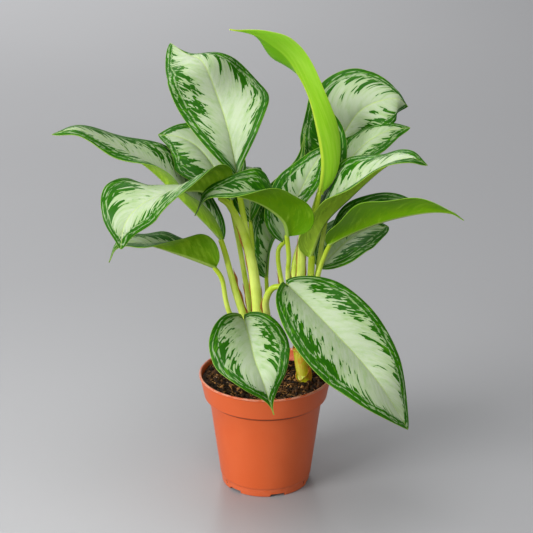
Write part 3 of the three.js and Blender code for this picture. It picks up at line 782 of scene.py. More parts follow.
class Wiring:
    """The shader nodes of one finish."""

    def __init__(self, name: str) -> None:
        """Starts a material with its principled shader and output.

        Args:
            name: Name of the material.
        """
        self.material = bpy.data.materials.new(name)
        self.material.use_nodes = True
        self.tree = self.material.node_tree
        self.shader = next(n for n in self.tree.nodes if n.type == "BSDF_PRINCIPLED")

    def add(self, kind: str, inputs: dict | None = None, **settings: object) -> bpy.types.Node:
        """Adds a node.

        Args:
            kind: The node's type.
            inputs: Values or sockets for its inputs, by name or number.
            **settings: Its properties.

        Returns:
            The node.
        """
        node = self.tree.nodes.new(kind)
        for key, value in settings.items():
            setattr(node, key, value)
        for key, value in (inputs or {}).items():
            self.put(node.inputs[key], value)
        return node

    def put(self, socket: Socket, value: object) -> None:
        """Links a socket into another one, or sets its value.

        Args:
            socket: The input to feed.
            value: A socket, a number, a vector or a colour.
        """
        if isinstance(value, bpy.types.NodeSocket):
            self.tree.links.new(value, socket)
        elif isinstance(value, tuple) and len(value) == 3 and socket.type == "RGBA":
            socket.default_value = (*value, 1.0)
        else:
            socket.default_value = value

    def own(self, key: str) -> tuple[Socket, ...]:
        """The three parts of one of the piece's own values."""
        source = self.add("ShaderNodeAttribute", attribute_name=key)
        return tuple(self.add("ShaderNodeSeparateXYZ", {0: source.outputs["Vector"]}).outputs)

    def place(self) -> Socket:
        """The place on the object, in metres."""
        return self.add("ShaderNodeTexCoord").outputs["Object"]

    def height(self) -> Socket:
        """The height above the ground, in metres."""
        return self.add("ShaderNodeSeparateXYZ", {0: self.place()}).outputs[2]

    def sums(self, kind: str, a: object, b: object = 0.0, c: object = 0.0,
             clamp: bool = False) -> Socket:
        """One step of arithmetic."""
        node = self.add("ShaderNodeMath", {0: a, 1: b, 2: c}, operation=kind, use_clamp=clamp)
        return node.outputs[0]

    def times(self, a: object, b: object) -> Socket:
        """One number times another."""
        return self.sums("MULTIPLY", a, b)

    def moved(self, value: object, noise: object, reach: float) -> Socket:
        """A value plus a reach times how far the noise is from its mean of a half."""
        return self.sums("MULTIPLY_ADD", self.sums("SUBTRACT", noise, 0.5), reach, value)

    def vector(self, x: object, y: object, z: object) -> Socket:
        """Three numbers as a vector."""
        return self.add("ShaderNodeCombineXYZ", {0: x, 1: y, 2: z}).outputs[0]

    def scaled(self, vector: object, scale: Triple) -> Socket:
        """A vector with each part multiplied."""
        node = self.add("ShaderNodeVectorMath", {0: vector, 1: scale}, operation="MULTIPLY")
        return node.outputs[0]

    def noise(self, vector: object, scale: float = 1.0, detail: float = 2.0,
              rough: float = 0.5, twist: float = 0.0) -> Socket:
        """Smooth noise of 0 to 1 with a mean of a half.

        Args:
            vector: Where it is read.
            scale: Factor on the vector.
            detail: How many finer layers it has.
            rough: How strong each finer layer is.
            twist: How far it is distorted.

        Returns:
            The noise.
        """
        inputs = {"Vector": vector, "Scale": scale, "Detail": detail, "Roughness": rough,
                  "Distortion": twist}
        return self.add("ShaderNodeTexNoise", inputs).outputs[0]

    def clouds(self, scale: Triple, detail: float = 2.0, rough: float = 0.5) -> Socket:
        """Noise on the place, which has a scale of its own on each axis."""
        return self.noise(self.scaled(self.place(), scale), detail=detail, rough=rough)

    def drawn(self, a: object, b: object, third: object, scales: Pair, **look: float) -> Socket:
        """Noise on values of the piece, drawn out along the one with the smaller scale.

        Args:
            a: The first value.
            b: The second value.
            third: What picks another part of the noise.
            scales: Factors on the first and second value.
            **look: The noise's scale, detail, rough and twist.

        Returns:
            The noise.
        """
        place = self.vector(self.times(a, scales[0]), self.times(b, scales[1]), third)
        return self.noise(place, **look)

    def step(self, value: object, low: float, high: float) -> Socket:
        """A soft step from 0 at low to 1 at high."""
        node = self.add("ShaderNodeMapRange", {0: value, 1: low, 2: high},
                        interpolation_type="SMOOTHSTEP")
        return node.outputs[0]

    def blend(self, share: object, a: object, b: object) -> Socket:
        """Colour a at share 0 and b at share 1.

        Args:
            share: Socket or number of 0 to 1.
            a: Socket or colour.
            b: Socket or colour.

        Returns:
            The mixed colour.
        """
        node = self.add("ShaderNodeMix", data_type="RGBA")
        self.put(node.inputs[0], share)
        self.put(node.inputs[6], a)
        self.put(node.inputs[7], b)
        return node.outputs[2]

    def bump(self, height: object, depth: float, strength: float = 1.0) -> None:
        """Fine relief of a depth in metres."""
        node = self.add("ShaderNodeBump", {"Strength": strength, "Distance": depth,
                                           "Height": height})
        self.put(self.shader.inputs["Normal"], node.outputs[0])

    def finish(self, colour: object, rough: object, **fixed: object) -> Material:
        """Wires the colour and roughness and sets the shader's other sockets.

        Args:
            colour: Socket or colour.
            rough: Socket or number.
            **fixed: Values of other sockets, with spaces as underscores.

        Returns:
            The material.
        """
        self.put(self.shader.inputs["Base Color"], colour)
        self.put(self.shader.inputs["Roughness"], rough)
        for key, value in fixed.items():
            self.put(self.shader.inputs[key.replace("_", " ")], value)
        return self.material


@dataclass(frozen=True)
class VariegatedLeaf:
    """Silver-green blade with ragged dark bands along its margins; lengths are in mm."""

    silver: Colour = (0.41, 0.485, 0.325)
    silver_deep: Colour = (0.22, 0.37, 0.1)
    dark: Colour = (0.014, 0.1, 0.0)
    mid: Colour = (0.055, 0.215, 0.001)
    rib: Colour = (0.4, 0.54, 0.12)
    margin: Colour = (0.3, 0.46, 0.07)
    under: Colour = (0.12, 0.275, 0.001)
    # Pale underside colour, also painted light through the blade where shade is below 0.
    under_pale_and_lit: Colour = (0.5, 0.74, 0.06)
    blotch_scale: Pair = (0.17, 0.09)
    finger_scale: Pair = (0.35, 0.21)
    finger_seed: float = 1.9
    cloud_scale: Pair = (0.12, 0.07)
    streak_scale: Pair = (0.05, 0.3)
    streak_seed: float = 3.1
    break_scale: Pair = (0.4, 0.5)
    band_slope: float = 3.4
    blotch_reach: float = 4.2
    finger_reach: float = 3.1
    streak_sway: float = 8.0
    edge_sway: float = 9.0
    edge_band: Pair = (7.8, 7.4)
    streak_step: Pair = (0.66, 0.69)
    pale_lines: tuple[Pair, ...] = ((3.5, 0.5), (7.6, 0.8))
    pale_strength: float = 0.72

    def material(self) -> Material:
        """Builds the blade's material.

        The piece's values give the share from midrib to margin, the place across and along the
        side veins, where the dark band begins and how far the margin is. Noise drawn out along
        the side veins makes the band's ragged fingers.

        Returns:
            The material.
        """
        w = Wiring("variegated_leaf")
        share, along, seed = w.own("blade")
        vein, off, under = w.own("vein")
        start, rim, shade = w.own("tone")
        blotch = w.drawn(vein, off, seed, self.blotch_scale, detail=1.0, twist=0.5)
        fingers = w.drawn(vein, off, w.sums("ADD", seed, self.finger_seed), self.finger_scale,
                          detail=1.1, rough=0.55, twist=0.3)
        cloud = w.drawn(vein, off, seed, self.cloud_scale, detail=5.0, rough=0.65)
        ribs = w.sums("SINE", w.times(vein, TURN / VEIN_SPACING))
        level = w.times(w.sums("SUBTRACT", share, start), self.band_slope)
        level = w.moved(level, blotch, self.blotch_reach)
        level = w.moved(level, fingers, self.finger_reach)
        dark = self.bands(w, level, blotch)
        green = w.sums("MULTIPLY_ADD", ribs, 0.025, w.times(w.step(cloud, 0.38, 0.72), 0.45))
        green = w.sums("ADD", green, w.times(w.sums("MAXIMUM", shade, 0.0), 0.6))
        green = w.sums("MULTIPLY_ADD", w.step(level, -1.4, 0.0), 0.35, green, clamp=True)
        silver = w.blend(green, self.silver, self.silver_deep)
        depth = w.sums("MULTIPLY_ADD", fingers, 0.5, w.times(cloud, 0.5))
        deep = w.blend(w.step(depth, 0.34, 0.52), self.mid, self.dark)
        upper = w.blend(dark, silver, deep)
        rib = w.step(w.sums("ADD", off, w.times(along, 0.5)), 1.2, 0.5)
        upper = w.blend(w.times(rib, 0.5), upper, self.rib)
        upper = w.blend(w.times(w.step(rim, 0.5, 0.15), 0.8), upper, self.margin)
        # Pale mottling of the underside, and painted light through the blade where shade is below
        # 0.
        pale_and_lit = w.step(w.sums("MULTIPLY_ADD", ribs, 0.03, cloud), 0.35, 1.15)
        pale_and_lit = w.sums("SUBTRACT", pale_and_lit, w.times(shade, 0.6), clamp=True)
        lower = w.blend(pale_and_lit, self.under, self.under_pale_and_lit)
        lower = w.blend(w.times(dark, 0.3), lower, self.mid)
        lower = w.blend(w.times(rib, 0.6), lower, self.rib)
        colour = w.blend(w.step(under, 0.35, 0.65), upper, lower)
        fine = w.clouds((900.0, 900.0, 900.0))
        w.bump(w.sums("MULTIPLY_ADD", fine, 0.3, w.times(ribs, 0.08)), 0.0002)
        rough = w.sums("MULTIPLY_ADD", cloud, 0.14, 0.36)
        return w.finish(colour, rough, Subsurface_Weight=0.15, Subsurface_Scale=0.0005,
                        Subsurface_Radius=(0.9, 1.0, 0.3), Specular_IOR_Level=0.1)

    def bands(self, w: Wiring, level: Socket, blotch: Socket) -> Socket:
        """Where the blade is dark.

        Beside the band itself the outermost edge is dark, to a distance from the margin that
        the noise moves. Broken pale lines along the margin and thin streaks lighten both.

        Args:
            w: The finish's nodes.
            level: Above 0 within the band.
            blotch: The noise of the large blotches.

        Returns:
            0 on the silver and 1 in the darkest parts.
        """
        seed, vein = w.own("blade")[2], w.own("vein")[0]
        start, rim = w.own("tone")[:2]
        streak = w.drawn(vein, rim, w.sums("ADD", seed, self.streak_seed), self.streak_scale,
                         detail=2.0, rough=0.55)
        breaks = w.drawn(vein, rim, seed, self.break_scale, detail=1.0)
        swayed = w.moved(rim, streak, self.streak_sway)
        pale = w.step(streak, *self.streak_step)
        for middle, half in self.pale_lines:
            pale = w.sums("MAXIMUM", pale, self.line(w, swayed, middle, half))
        pale = w.times(w.times(pale, w.step(breaks, 0.4, 0.48)), w.step(rim, 1.0, 1.8))
        edge = w.step(w.moved(swayed, blotch, self.edge_sway), *self.edge_band)
        edge = w.sums("MAXIMUM", w.step(rim, 2.6, 1.8), edge)
        edge = w.times(edge, w.step(start, 1.02, 0.9))
        dark = w.sums("MAXIMUM", w.step(level, -0.03, 0.03), edge)
        return w.times(dark, w.sums("SUBTRACT", 1.0, w.times(pale, self.pale_strength)))

    def line(self, w: Wiring, rim: Socket, middle: float, half: float) -> Socket:
        """A pale line along the margin.

        Args:
            w: The finish's nodes.
            rim: Distance from the margin.
            middle: The line's distance from the margin.
            half: Half its width.

        Returns:
            1 on the line and 0 off it.
        """
        away = w.sums("ABSOLUTE", w.sums("SUBTRACT", rim, middle))
        return w.step(away, half * 1.5, half * 0.5)


@dataclass(frozen=True)
class YoungLeaf:
    """Plain bright green blade that is still rolled."""

    bright: Colour = (0.21, 0.455, 0.008)
    pale: Colour = (0.28, 0.51, 0.03)
    # Deep green: the upper side's colour, and painted shade towards the tip and where the marks
    # begin early.
    deep: Colour = (0.1, 0.3, 0.002)
    rib: Colour = (0.5, 0.62, 0.05)

    def material(self) -> Material:
        """Builds the young blade's material: faint lengthwise streaks over bright green.

        Returns:
            The material.
        """
        w = Wiring("young_leaf")
        along, seed = w.own("blade")[1:]
        off, under = w.own("vein")[1:]
        start, rim = w.own("tone")[:2]
        streaks = w.drawn(off, along, seed, (0.7, 5.0), detail=3.0, rough=0.6)
        cloud = w.clouds((30.0, 30.0, 30.0))
        colour = w.blend(w.step(streaks, 0.3, 0.75), self.bright, self.pale)
        colour = w.blend(w.times(w.step(cloud, 0.4, 0.8), 0.5), colour, self.bright)
        # Painted shade: deeper green towards the tip.
        colour = w.blend(w.times(w.step(along, 0.55, 0.85), 0.55), colour, self.deep)
        # Deep green on the upper side, and painted shade where the marks begin early.
        inner = w.sums("MAXIMUM", w.step(under, 0.65, 0.35), w.step(start, 0.7, 0.2))
        colour = w.blend(w.times(inner, 0.8), colour, self.deep)
        rib = w.times(w.step(off, 1.5, 0.6), w.step(along, 0.7, 0.5))
        colour = w.blend(w.times(rib, 0.7), colour, self.rib)
        colour = w.blend(w.times(w.step(rim, 0.7, 0.2), 0.5), colour, self.rib)
        colour = w.blend(w.times(w.step(along, 0.93, 1.0), 0.7), colour, self.rib)
        w.bump(streaks, 0.0001, 0.2)
        rough = w.sums("MULTIPLY_ADD", cloud, 0.12, 0.36)
        return w.finish(colour, rough, Subsurface_Weight=0.15, Subsurface_Scale=0.002,
                        Subsurface_Radius=(0.5, 1.0, 0.2), Specular_IOR_Level=0.25)


@dataclass(frozen=True)
class FleshyStalk:
    """Yellow-green stalks with darker lengthwise streaks, browned at their foot."""

    green: Colour = (0.42, 0.56, 0.02)
    cream: Colour = (0.7, 0.82, 0.17)
    deep: Colour = (0.24, 0.42, 0.008)
    brown: Colour = (0.5, 0.2, 0.03)
    brown_from: float = 0.175
    brown_below: float = 0.115

    def material(self) -> Material:
        """Builds the stalks' material: streaks follow the angle round the stem.

        Returns:
            The material.
        """
        w = Wiring("fleshy_stalk")
        share, angle, seed = w.own("stem")
        streaks = w.drawn(w.sums("SINE", angle), w.sums("COSINE", angle),
                          w.sums("ADD", seed, w.times(share, 1.2)), (1.6, 1.6), scale=1.6,
                          detail=3.0, rough=0.6)
        cloud = w.clouds((45.0, 45.0, 30.0), detail=3.0, rough=0.6)
        cream = w.times(w.step(cloud, 0.28, 0.62), w.step(share, 0.0, 0.5))
        colour = w.blend(cream, self.green, self.cream)
        colour = w.blend(w.times(w.step(streaks, 0.54, 0.74), 0.55), colour, self.deep)
        stain = w.step(w.sums("MULTIPLY_ADD", streaks, 0.5, w.times(cloud, 0.5)), 0.46, 0.6)
        low = w.times(w.step(w.height(), self.brown_from, self.brown_below), stain)
        colour = w.blend(w.times(low, 0.6), colour, self.brown)
        w.bump(w.sums("ADD", streaks, cloud), 0.0003, 0.6)
        rough = w.sums("MULTIPLY_ADD", cloud, 0.2, 0.3)
        return w.finish(colour, rough, Subsurface_Weight=0.15, Subsurface_Scale=0.003,
                        Subsurface_Radius=(0.8, 1.0, 0.3), Specular_IOR_Level=0.3)


@dataclass(frozen=True)
class PaperySheath:
    """Dry reddish brown edges of the sheaths at the foot of the stalks."""

    brown: Colour = (0.2, 0.055, 0.006)
    tan: Colour = (0.42, 0.17, 0.02)

    def material(self) -> Material:
        """Builds the dry edges' material: tan at the loose tip and brown below.

        Returns:
            The material.
        """
        w = Wiring("papery_sheath")
        share = w.own("stem")[0]
        cloud = w.clouds((220.0, 220.0, 60.0), detail=3.0)
        low = w.step(w.sums("MULTIPLY_ADD", share, 0.3, cloud), 0.4, 0.9)
        w.bump(cloud, 0.0003)
        return w.finish(w.blend(low, self.tan, self.brown), 0.6)


@dataclass(frozen=True)
class OldSheath:
    """Olive-yellow sheath with orange-brown stains and a dry brown edge."""

    olive: Colour = (0.42, 0.45, 0.006)
    cream: Colour = (0.68, 0.6, 0.08)
    stain: Colour = (0.66, 0.26, 0.025)
    dry: Colour = (0.42, 0.15, 0.02)

    def material(self) -> Material:
        """Builds the old sheaths' material: ribs follow the angle round the cane.

        Returns:
            The material.
        """
        w = Wiring("old_sheath")
        rise, angle, seed = w.own("stem")
        ribs = w.drawn(w.sums("SINE", angle), w.sums("COSINE", angle), w.sums("ADD", seed, rise),
                       (4.0, 4.0), detail=3.0, rough=0.6)
        cloud = w.clouds((130.0, 130.0, 80.0), detail=4.0, rough=0.65)
        colour = w.blend(w.step(ribs, 0.42, 0.66), self.olive, self.cream)
        stain = w.step(w.sums("MULTIPLY_ADD", rise, 0.16, cloud), 0.56, 0.72)
        colour = w.blend(w.times(stain, 0.85), colour, self.stain)
        edge = w.step(w.sums("MULTIPLY_ADD", cloud, 0.2, rise), 0.98, 1.1)
        colour = w.blend(edge, colour, self.dry)
        w.bump(w.sums("ADD", ribs, cloud), 0.0004, 0.7)
        return w.finish(colour, w.sums("MULTIPLY_ADD", cloud, 0.25, 0.32), Specular_IOR_Level=0.3)


@dataclass(frozen=True)
class FibrousPeat:
    """Dark moist peat with paler crumbs."""

    dark: Colour = (0.014, 0.007, 0.003)
    brown: Colour = (0.065, 0.029, 0.011)
    tan: Colour = (0.2, 0.11, 0.045)

    def material(self) -> Material:
        """Builds the peat's material: slow lumps from dark to brown, with fine tan grains.

        Returns:
            The material.
        """
        w = Wiring("fibrous_peat")
        grain = w.clouds((380.0, 380.0, 380.0), detail=5.0, rough=0.65)
        lumps = w.clouds((90.0, 90.0, 90.0), detail=3.0, rough=0.6)
        colour = w.blend(w.step(lumps, 0.35, 0.7), self.dark, self.brown)
        colour = w.blend(w.times(w.step(grain, 0.62, 0.72), 0.6), colour, self.tan)
        w.bump(w.sums("ADD", grain, lumps), 0.0012)
        return w.finish(colour, w.sums("MULTIPLY_ADD", grain, 0.3, 0.62), Specular_IOR_Level=0.2)


@dataclass(frozen=True)
class PeatCrumb:
    """Loose crumbs, fibres and specks, each with a tone of its own."""

    dark: Colour = (0.014, 0.007, 0.003)
    brown: Colour = (0.095, 0.04, 0.012)
    straw: Colour = (0.42, 0.2, 0.06)
    speck: Colour = (0.62, 0.56, 0.45)

    def material(self) -> Material:
        """Builds the crumbs' material: the tone of a crumb picks its colour.

        Returns:
            The material.
        """
        w = Wiring("peat_crumb")
        grain = w.clouds((600.0, 600.0, 600.0), detail=3.0)
        tone = w.moved(w.own("stem")[2], grain, 0.3)
        colour = w.blend(w.step(tone, 0.0, 0.55), self.dark, self.brown)
        colour = w.blend(w.step(tone, 0.55, 0.8), colour, self.straw)
        colour = w.blend(w.step(tone, 0.95, 1.0), colour, self.speck)
        w.bump(grain, 0.0005)
        return w.finish(colour, 0.75, Specular_IOR_Level=0.2)


@dataclass(frozen=True)
class MouldedPlastic:
    """Terracotta-coloured satin plastic, its rolled lip paler for rubbing and a painted highlight.

    Heights and radii are in metres, each from where a soft step begins to where it ends.
    """

    clay: Colour = (0.6, 0.1, 0.022)
    pale: Colour = (0.66, 0.135, 0.04)
    # Colour of dust and scuffs, and of the painted highlight on the lip.
    dust_and_highlight: Colour = (0.72, 0.36, 0.25)
    # Colour of the painted shade under the ledge and in the slits.
    groove: Colour = (0.14, 0.02, 0.006)
    lip_height: Pair = (0.1035, 0.1047)
    foot_height: Pair = (0.0095, 0.0075)
    foot_wear: float = 0.1
    ledge_low: Pair = (0.0805, 0.0818)
    ledge_high: Pair = (0.0848, 0.084)
    ledge_painted_shade: float = 0.75
    slit_low: Pair = (0.0023, 0.003)
    slit_high: Pair = (0.0069, 0.0062)
    slit_radius: Pair = (0.0399, 0.0396)

    def material(self) -> Material:
        """Builds the pot's material.

        Cloudy clay, dusty where noise wears the lip and the foot, the lip also paler as a painted
        highlight, and darkened by painted shade under the ledge and where the foot's wall is
        pressed in to a slit.

        Returns:
            The material.
        """
        w = Wiring("moulded_plastic")
        cloud = w.clouds((28.0, 28.0, 18.0), detail=4.0, rough=0.6)
        grain = w.clouds((700.0, 700.0, 700.0))
        scuff = w.clouds((160.0, 160.0, 520.0), detail=4.0, rough=0.7)
        height = w.height()
        around = w.add("ShaderNodeVectorMath", {0: w.scaled(w.place(), (1.0, 1.0, 0.0))},
                       operation="LENGTH").outputs["Value"]
        colour = w.blend(w.times(w.step(cloud, 0.35, 0.75), 0.35), self.clay, self.pale)
        foot = w.times(w.step(height, *self.foot_height), self.foot_wear)
        # Rubbing on the lip and the foot; on the lip the paler colour is also a painted highlight.
        wear_and_highlight = w.sums("MAXIMUM", w.step(height, *self.lip_height), foot)
        wear_and_highlight = w.times(wear_and_highlight, w.step(scuff, 0.35, 0.6))
        colour = w.blend(w.times(wear_and_highlight, 0.7), colour, self.dust_and_highlight)
        # Painted shade under the ledge and in the slits of the foot.
        ledge = w.times(w.step(height, *self.ledge_low), w.step(height, *self.ledge_high))
        slit = w.times(w.step(height, *self.slit_low), w.step(height, *self.slit_high))
        slit = w.times(slit, w.step(around, *self.slit_radius))
        painted_shade = w.sums("MAXIMUM", w.times(ledge, self.ledge_painted_shade), slit)
        colour = w.blend(painted_shade, colour, self.groove)
        colour = w.blend(w.times(w.step(scuff, 0.7, 0.76), 0.25), colour, self.dust_and_highlight)
        w.bump(w.sums("MULTIPLY_ADD", grain, 0.4, cloud), 0.0002, 0.5)
        rough = w.sums("MULTIPLY_ADD", cloud, 0.16, 0.34)
        return w.finish(colour, rough, Subsurface_Weight=0.05, Subsurface_Scale=0.002,
                        Subsurface_Radius=(1.0, 0.4, 0.2), Specular_IOR_Level=0.3)


@dataclass(frozen=True)
class StudioFloor:
    """Plain pale grey ground."""

    grey: Colour = (0.345, 0.345, 0.352)
    patch: Colour = (0.32, 0.32, 0.325)

    def material(self) -> Material:
        """Builds the floor's material: one grey with faint wide patches of the other.

        Returns:
            The material.
        """
        w = Wiring("studio_floor")
        cloud = w.clouds((3.0, 3.0, 3.0))
        colour = w.blend(w.times(cloud, 0.15), self.grey, self.patch)
        return w.finish(colour, w.sums("MULTIPLY_ADD", cloud, 0.1, 0.28), Specular_IOR_Level=0.4)


# ------------------------------------------------------------------ the pot


@dataclass
class NurseryPot:
    """Thin round pot with a rim band, a rolled lip and drainage cuts, in mm."""

    rim_radius: float = 60.0
    rim_top: float = 105.5
    band_foot_radius: float = 55.4
    band_foot: float = 85.0
    body_top_radius: float = 50.8
    body_top: float = 81.5
    foot_radius: float = 41.4
    foot_top: float = 8.4
    base_radius: float = 40.0
    foot_ring: float = 1.9
    wall: float = 1.3
    lip: float = 1.1
    lip_step: float = 0.9
    bevel: float = 0.6
    foot_step: float = 0.5
    shelf_drop: float = 1.0
    floor_corner: float = 1.4
    floor_under: float = 3.0
    floor_top: float = 4.6
    pad_radius: float = 12.0
    pad_corner: float = 0.3
    slot_inner: float = 31.0
    slot_outer: float = 36.6
    notches: int = 6
    first_notch: float = -73.5
    notch_half: float = 8.8
    notch_height: float = 2.4
    slits: int = 3
    first_slit: float = -30.5
    slit_half: float = 1.15
    slit_foot: float = 2.6
    slit_top: float = 6.4
    slit_depth: float = 1.15
    slit_edge: float = 0.08
    sector: float = 1.8
    sector_gap: float = 0.6
    cut_edge: float = 0.25

    def wall_at(self, height: float) -> float:
        """Radius of the foot's wall at a height, on the straight line between its bevels."""
        run = self.foot_top - 2 * self.bevel
        return mix(self.base_radius, self.foot_radius - self.foot_step,
                   (height - self.bevel) / run)

    def body_at(self, share: float) -> Pair:
        """Radius and height of the body's wall at a share of the way up it."""
        return (mix(self.foot_radius, self.body_top_radius, share),
                mix(self.foot_top, self.body_top, share))

    def profile(self) -> Array:
        """The outline that turns about the pot's middle.

        It runs from the pad under the floor round the foot and up the outside, over the lip and
        down the inside to the floor. Corners are cut by short slanting steps, and the lip is
        seven twelfths of a circle.

        Returns:
            Rows of radius and height.
        """
        under, lip_middle = self.floor_under, self.rim_top - self.lip
        angle = np.radians(np.linspace(-60, 150, 13))
        lip = np.stack(
            [self.rim_radius - self.lip + self.lip * np.cos(angle),
             lip_middle + self.lip * np.sin(angle)], -1)
        ring, cut = self.base_radius - self.foot_ring, self.pad_corner
        slit_heights = (self.slit_foot - self.slit_edge, self.slit_foot,
                        self.slit_top, self.slit_top + self.slit_edge)
        outside = [
            (self.pad_radius - cut, 0), (self.pad_radius, cut), (self.pad_radius, under - cut),
            (self.pad_radius + cut, under), (self.slot_inner, under), (self.slot_outer, under),
            (ring - 0.2, under), (ring, under - 0.3), (ring, 0.25), (ring + 0.25, 0),
            (self.base_radius - self.bevel, 0), (self.base_radius - 0.15, 0.15),
            (self.base_radius, self.bevel),
            *((self.wall_at(z), z) for z in slit_heights),
            (self.foot_radius - self.foot_step, self.foot_top - self.bevel),
            (self.foot_radius - 0.15, self.foot_top - 0.25), (self.foot_radius, self.foot_top),
            (self.foot_radius + 0.15, self.foot_top + 1.2),
            *(self.body_at(share) for share in (0.25, 0.5, 0.75)),
            (self.body_top_radius - 0.05, self.body_top - 0.5),
            (self.body_top_radius + 0.2, self.body_top),
            (self.band_foot_radius - 0.9, self.band_foot - 1.0),
            (self.band_foot_radius - 0.25, self.band_foot - 0.5),
            (self.band_foot_radius, self.band_foot),
            (self.band_foot_radius + 0.1, self.band_foot + 0.6),
            (mix(self.band_foot_radius, self.rim_radius - self.lip_step, 0.5),
             mix(self.band_foot, lip_middle - self.lip, 0.5)),
            (self.rim_radius - self.lip_step - 0.1, lip_middle - self.lip - 0.5),
            (self.rim_radius - self.lip_step, lip_middle - self.lip),
        ]
        inside = [
            (self.rim_radius - self.lip_step - self.wall, lip_middle - self.lip),
            (self.band_foot_radius - self.wall, self.band_foot),
            (self.body_top_radius - self.wall, self.body_top - self.shelf_drop),
            (self.foot_radius - self.wall, self.foot_top),
            (self.foot_radius - self.wall - self.floor_corner, self.floor_top),
            (self.slot_outer, self.floor_top), (self.slot_inner, self.floor_top),
            (self.pad_radius, self.floor_top),
        ]
        return np.vstack([outside, lip, inside])

    def cut_angles(self, first: float, count: int, half: float) -> Array:
        """Rows of the first and last angle of even cuts, in degrees from 0 to 360."""
        middle = first + 360.0 / count * np.arange(count)
        return np.stack([middle - half, middle + half], -1) % 360.0

    def angles(self) -> Array:
        """All sector angles.

        They are even round the turn except near the sides of the cuts, where each side has one
        angle on it and one just past it.

        Returns:
            Angles in degrees, in order.
        """
        cuts = np.concatenate([
            self.cut_angles(self.first_notch, self.notches, self.notch_half).ravel(),
            self.cut_angles(self.first_slit, self.slits, self.slit_half).ravel(),
        ])
        even = np.arange(0.0, 360.0, self.sector)
        near = np.abs(even[:, None] - cuts[None]).min(axis=1) < self.sector_gap
        return np.sort(np.concatenate([even[~near], cuts, cuts + self.cut_edge]) % 360.0)

    def within(self, angle: Array, cuts: Array) -> Array:
        """Whether each angle lies inside one of the cuts.

        Args:
            angle: Angles in degrees.
            cuts: Rows of a cut's first and last angle.

        Returns:
            True or False for each angle.
        """
        low, high = cuts[None, :, 0], cuts[None, :, 1]
        turned = (angle[:, None] - low) % 360.0
        return (turned <= (high - low) % 360.0 + 1e-6).any(axis=1)

    def skin(self) -> Skin:
        """The pot's closed skin.

        The profile turns about +Z. In a notch the foot ring's bottom is lifted, in a slit the
        wall is pressed in, and over a slot the floor's faces are left out and its sides walled.

        Returns:
            The skin.
        """
        profile, angle = self.profile(), self.angles()
        rows, columns = len(profile), len(angle)
        notches = self.cut_angles(self.first_notch, self.notches, self.notch_half)
        slits = self.cut_angles(self.first_slit, self.slits, self.slit_half)
        notched, slit = self.within(angle, notches), self.within(angle, slits)
        radius = np.repeat(profile[:, :1], columns, axis=1)
        height = np.repeat(profile[:, 1:], columns, axis=1)
        ring = (radius > self.base_radius - self.foot_ring - 0.1) & (radius < self.foot_radius + 1)
        low = ring & (height < self.notch_height) & notched[None]
        height = np.where(low, self.notch_height, height)
        outer = np.arange(rows)[:, None] < int(np.argmax(profile[:, 1]))
        pressed = outer & ring & slit[None] & (height >= self.slit_foot - 0.01)
        pressed &= height <= self.slit_top + 0.01
        radius = np.where(pressed, radius - self.slit_depth, radius)
        turn = np.radians(angle)[None]
        points = np.stack([radius * np.cos(turn), radius * np.sin(turn), height], -1)
        quads = grid_faces(rows, columns, closed=True)
        row, column = quads[:, 0] // columns, quads[:, 0] % columns
        under = int(np.argmax(profile[:, 0] == self.slot_inner))
        over = rows - 3
        open_column = notched & np.roll(notched, -1)
        hole = open_column[column] & ((row == under) | (row == over))
        quads = quads[~hole]
        walls = self.slot_walls(under, over, columns, open_column)
        bottom, top = rows * columns, rows * columns + 1
        points = np.vstack([points.reshape(-1, 3), [[0, 0, 0], [0, 0, self.floor_top]]])
        ends = [fan(np.arange(columns), bottom, flipped=True),
                fan(np.arange(columns) + (rows - 1) * columns, top)]
        return Skin(points, [quads, walls, *ends])

    def slot_walls(self, under: int, over: int, columns: int, open_column: Array) -> Array:
        """The four sides of each slot, between the floor's underside and its top.

        Args:
            under: Row of the profile at a slot's inner side, on the underside.
            over: Row at a slot's outer side, on top.
            columns: Sectors of the whole turn.
            open_column: Whether each sector is over a slot.

        Returns:
            Rows of four corners.
        """
        near_low, far_low = under * columns, (under + 1) * columns
        far_high, near_high = over * columns, (over + 1) * columns
        j = np.flatnonzero(open_column)
        k = (j + 1) % columns
        sides = [np.stack([near_low + k, near_low + j, near_high + j, near_high + k], -1),
                 np.stack([far_low + j, far_low + k, far_high + k, far_high + j], -1)]
        first = j[~open_column[(j - 1) % columns]][:, None]
        last = k[~open_column[(j + 1) % columns]][:, None]
        sides.append(first + np.array([near_low, far_low, far_high, near_high]))
        sides.append(last + np.array([far_low, near_low, near_high, far_high]))
        return np.vstack(sides)

    def build(self, finish: Material) -> None:
        """Makes the pot."""
        make_piece("nursery_pot", self.skin(), finish, ["pot"])


# ------------------------------------------------------------------ the soil


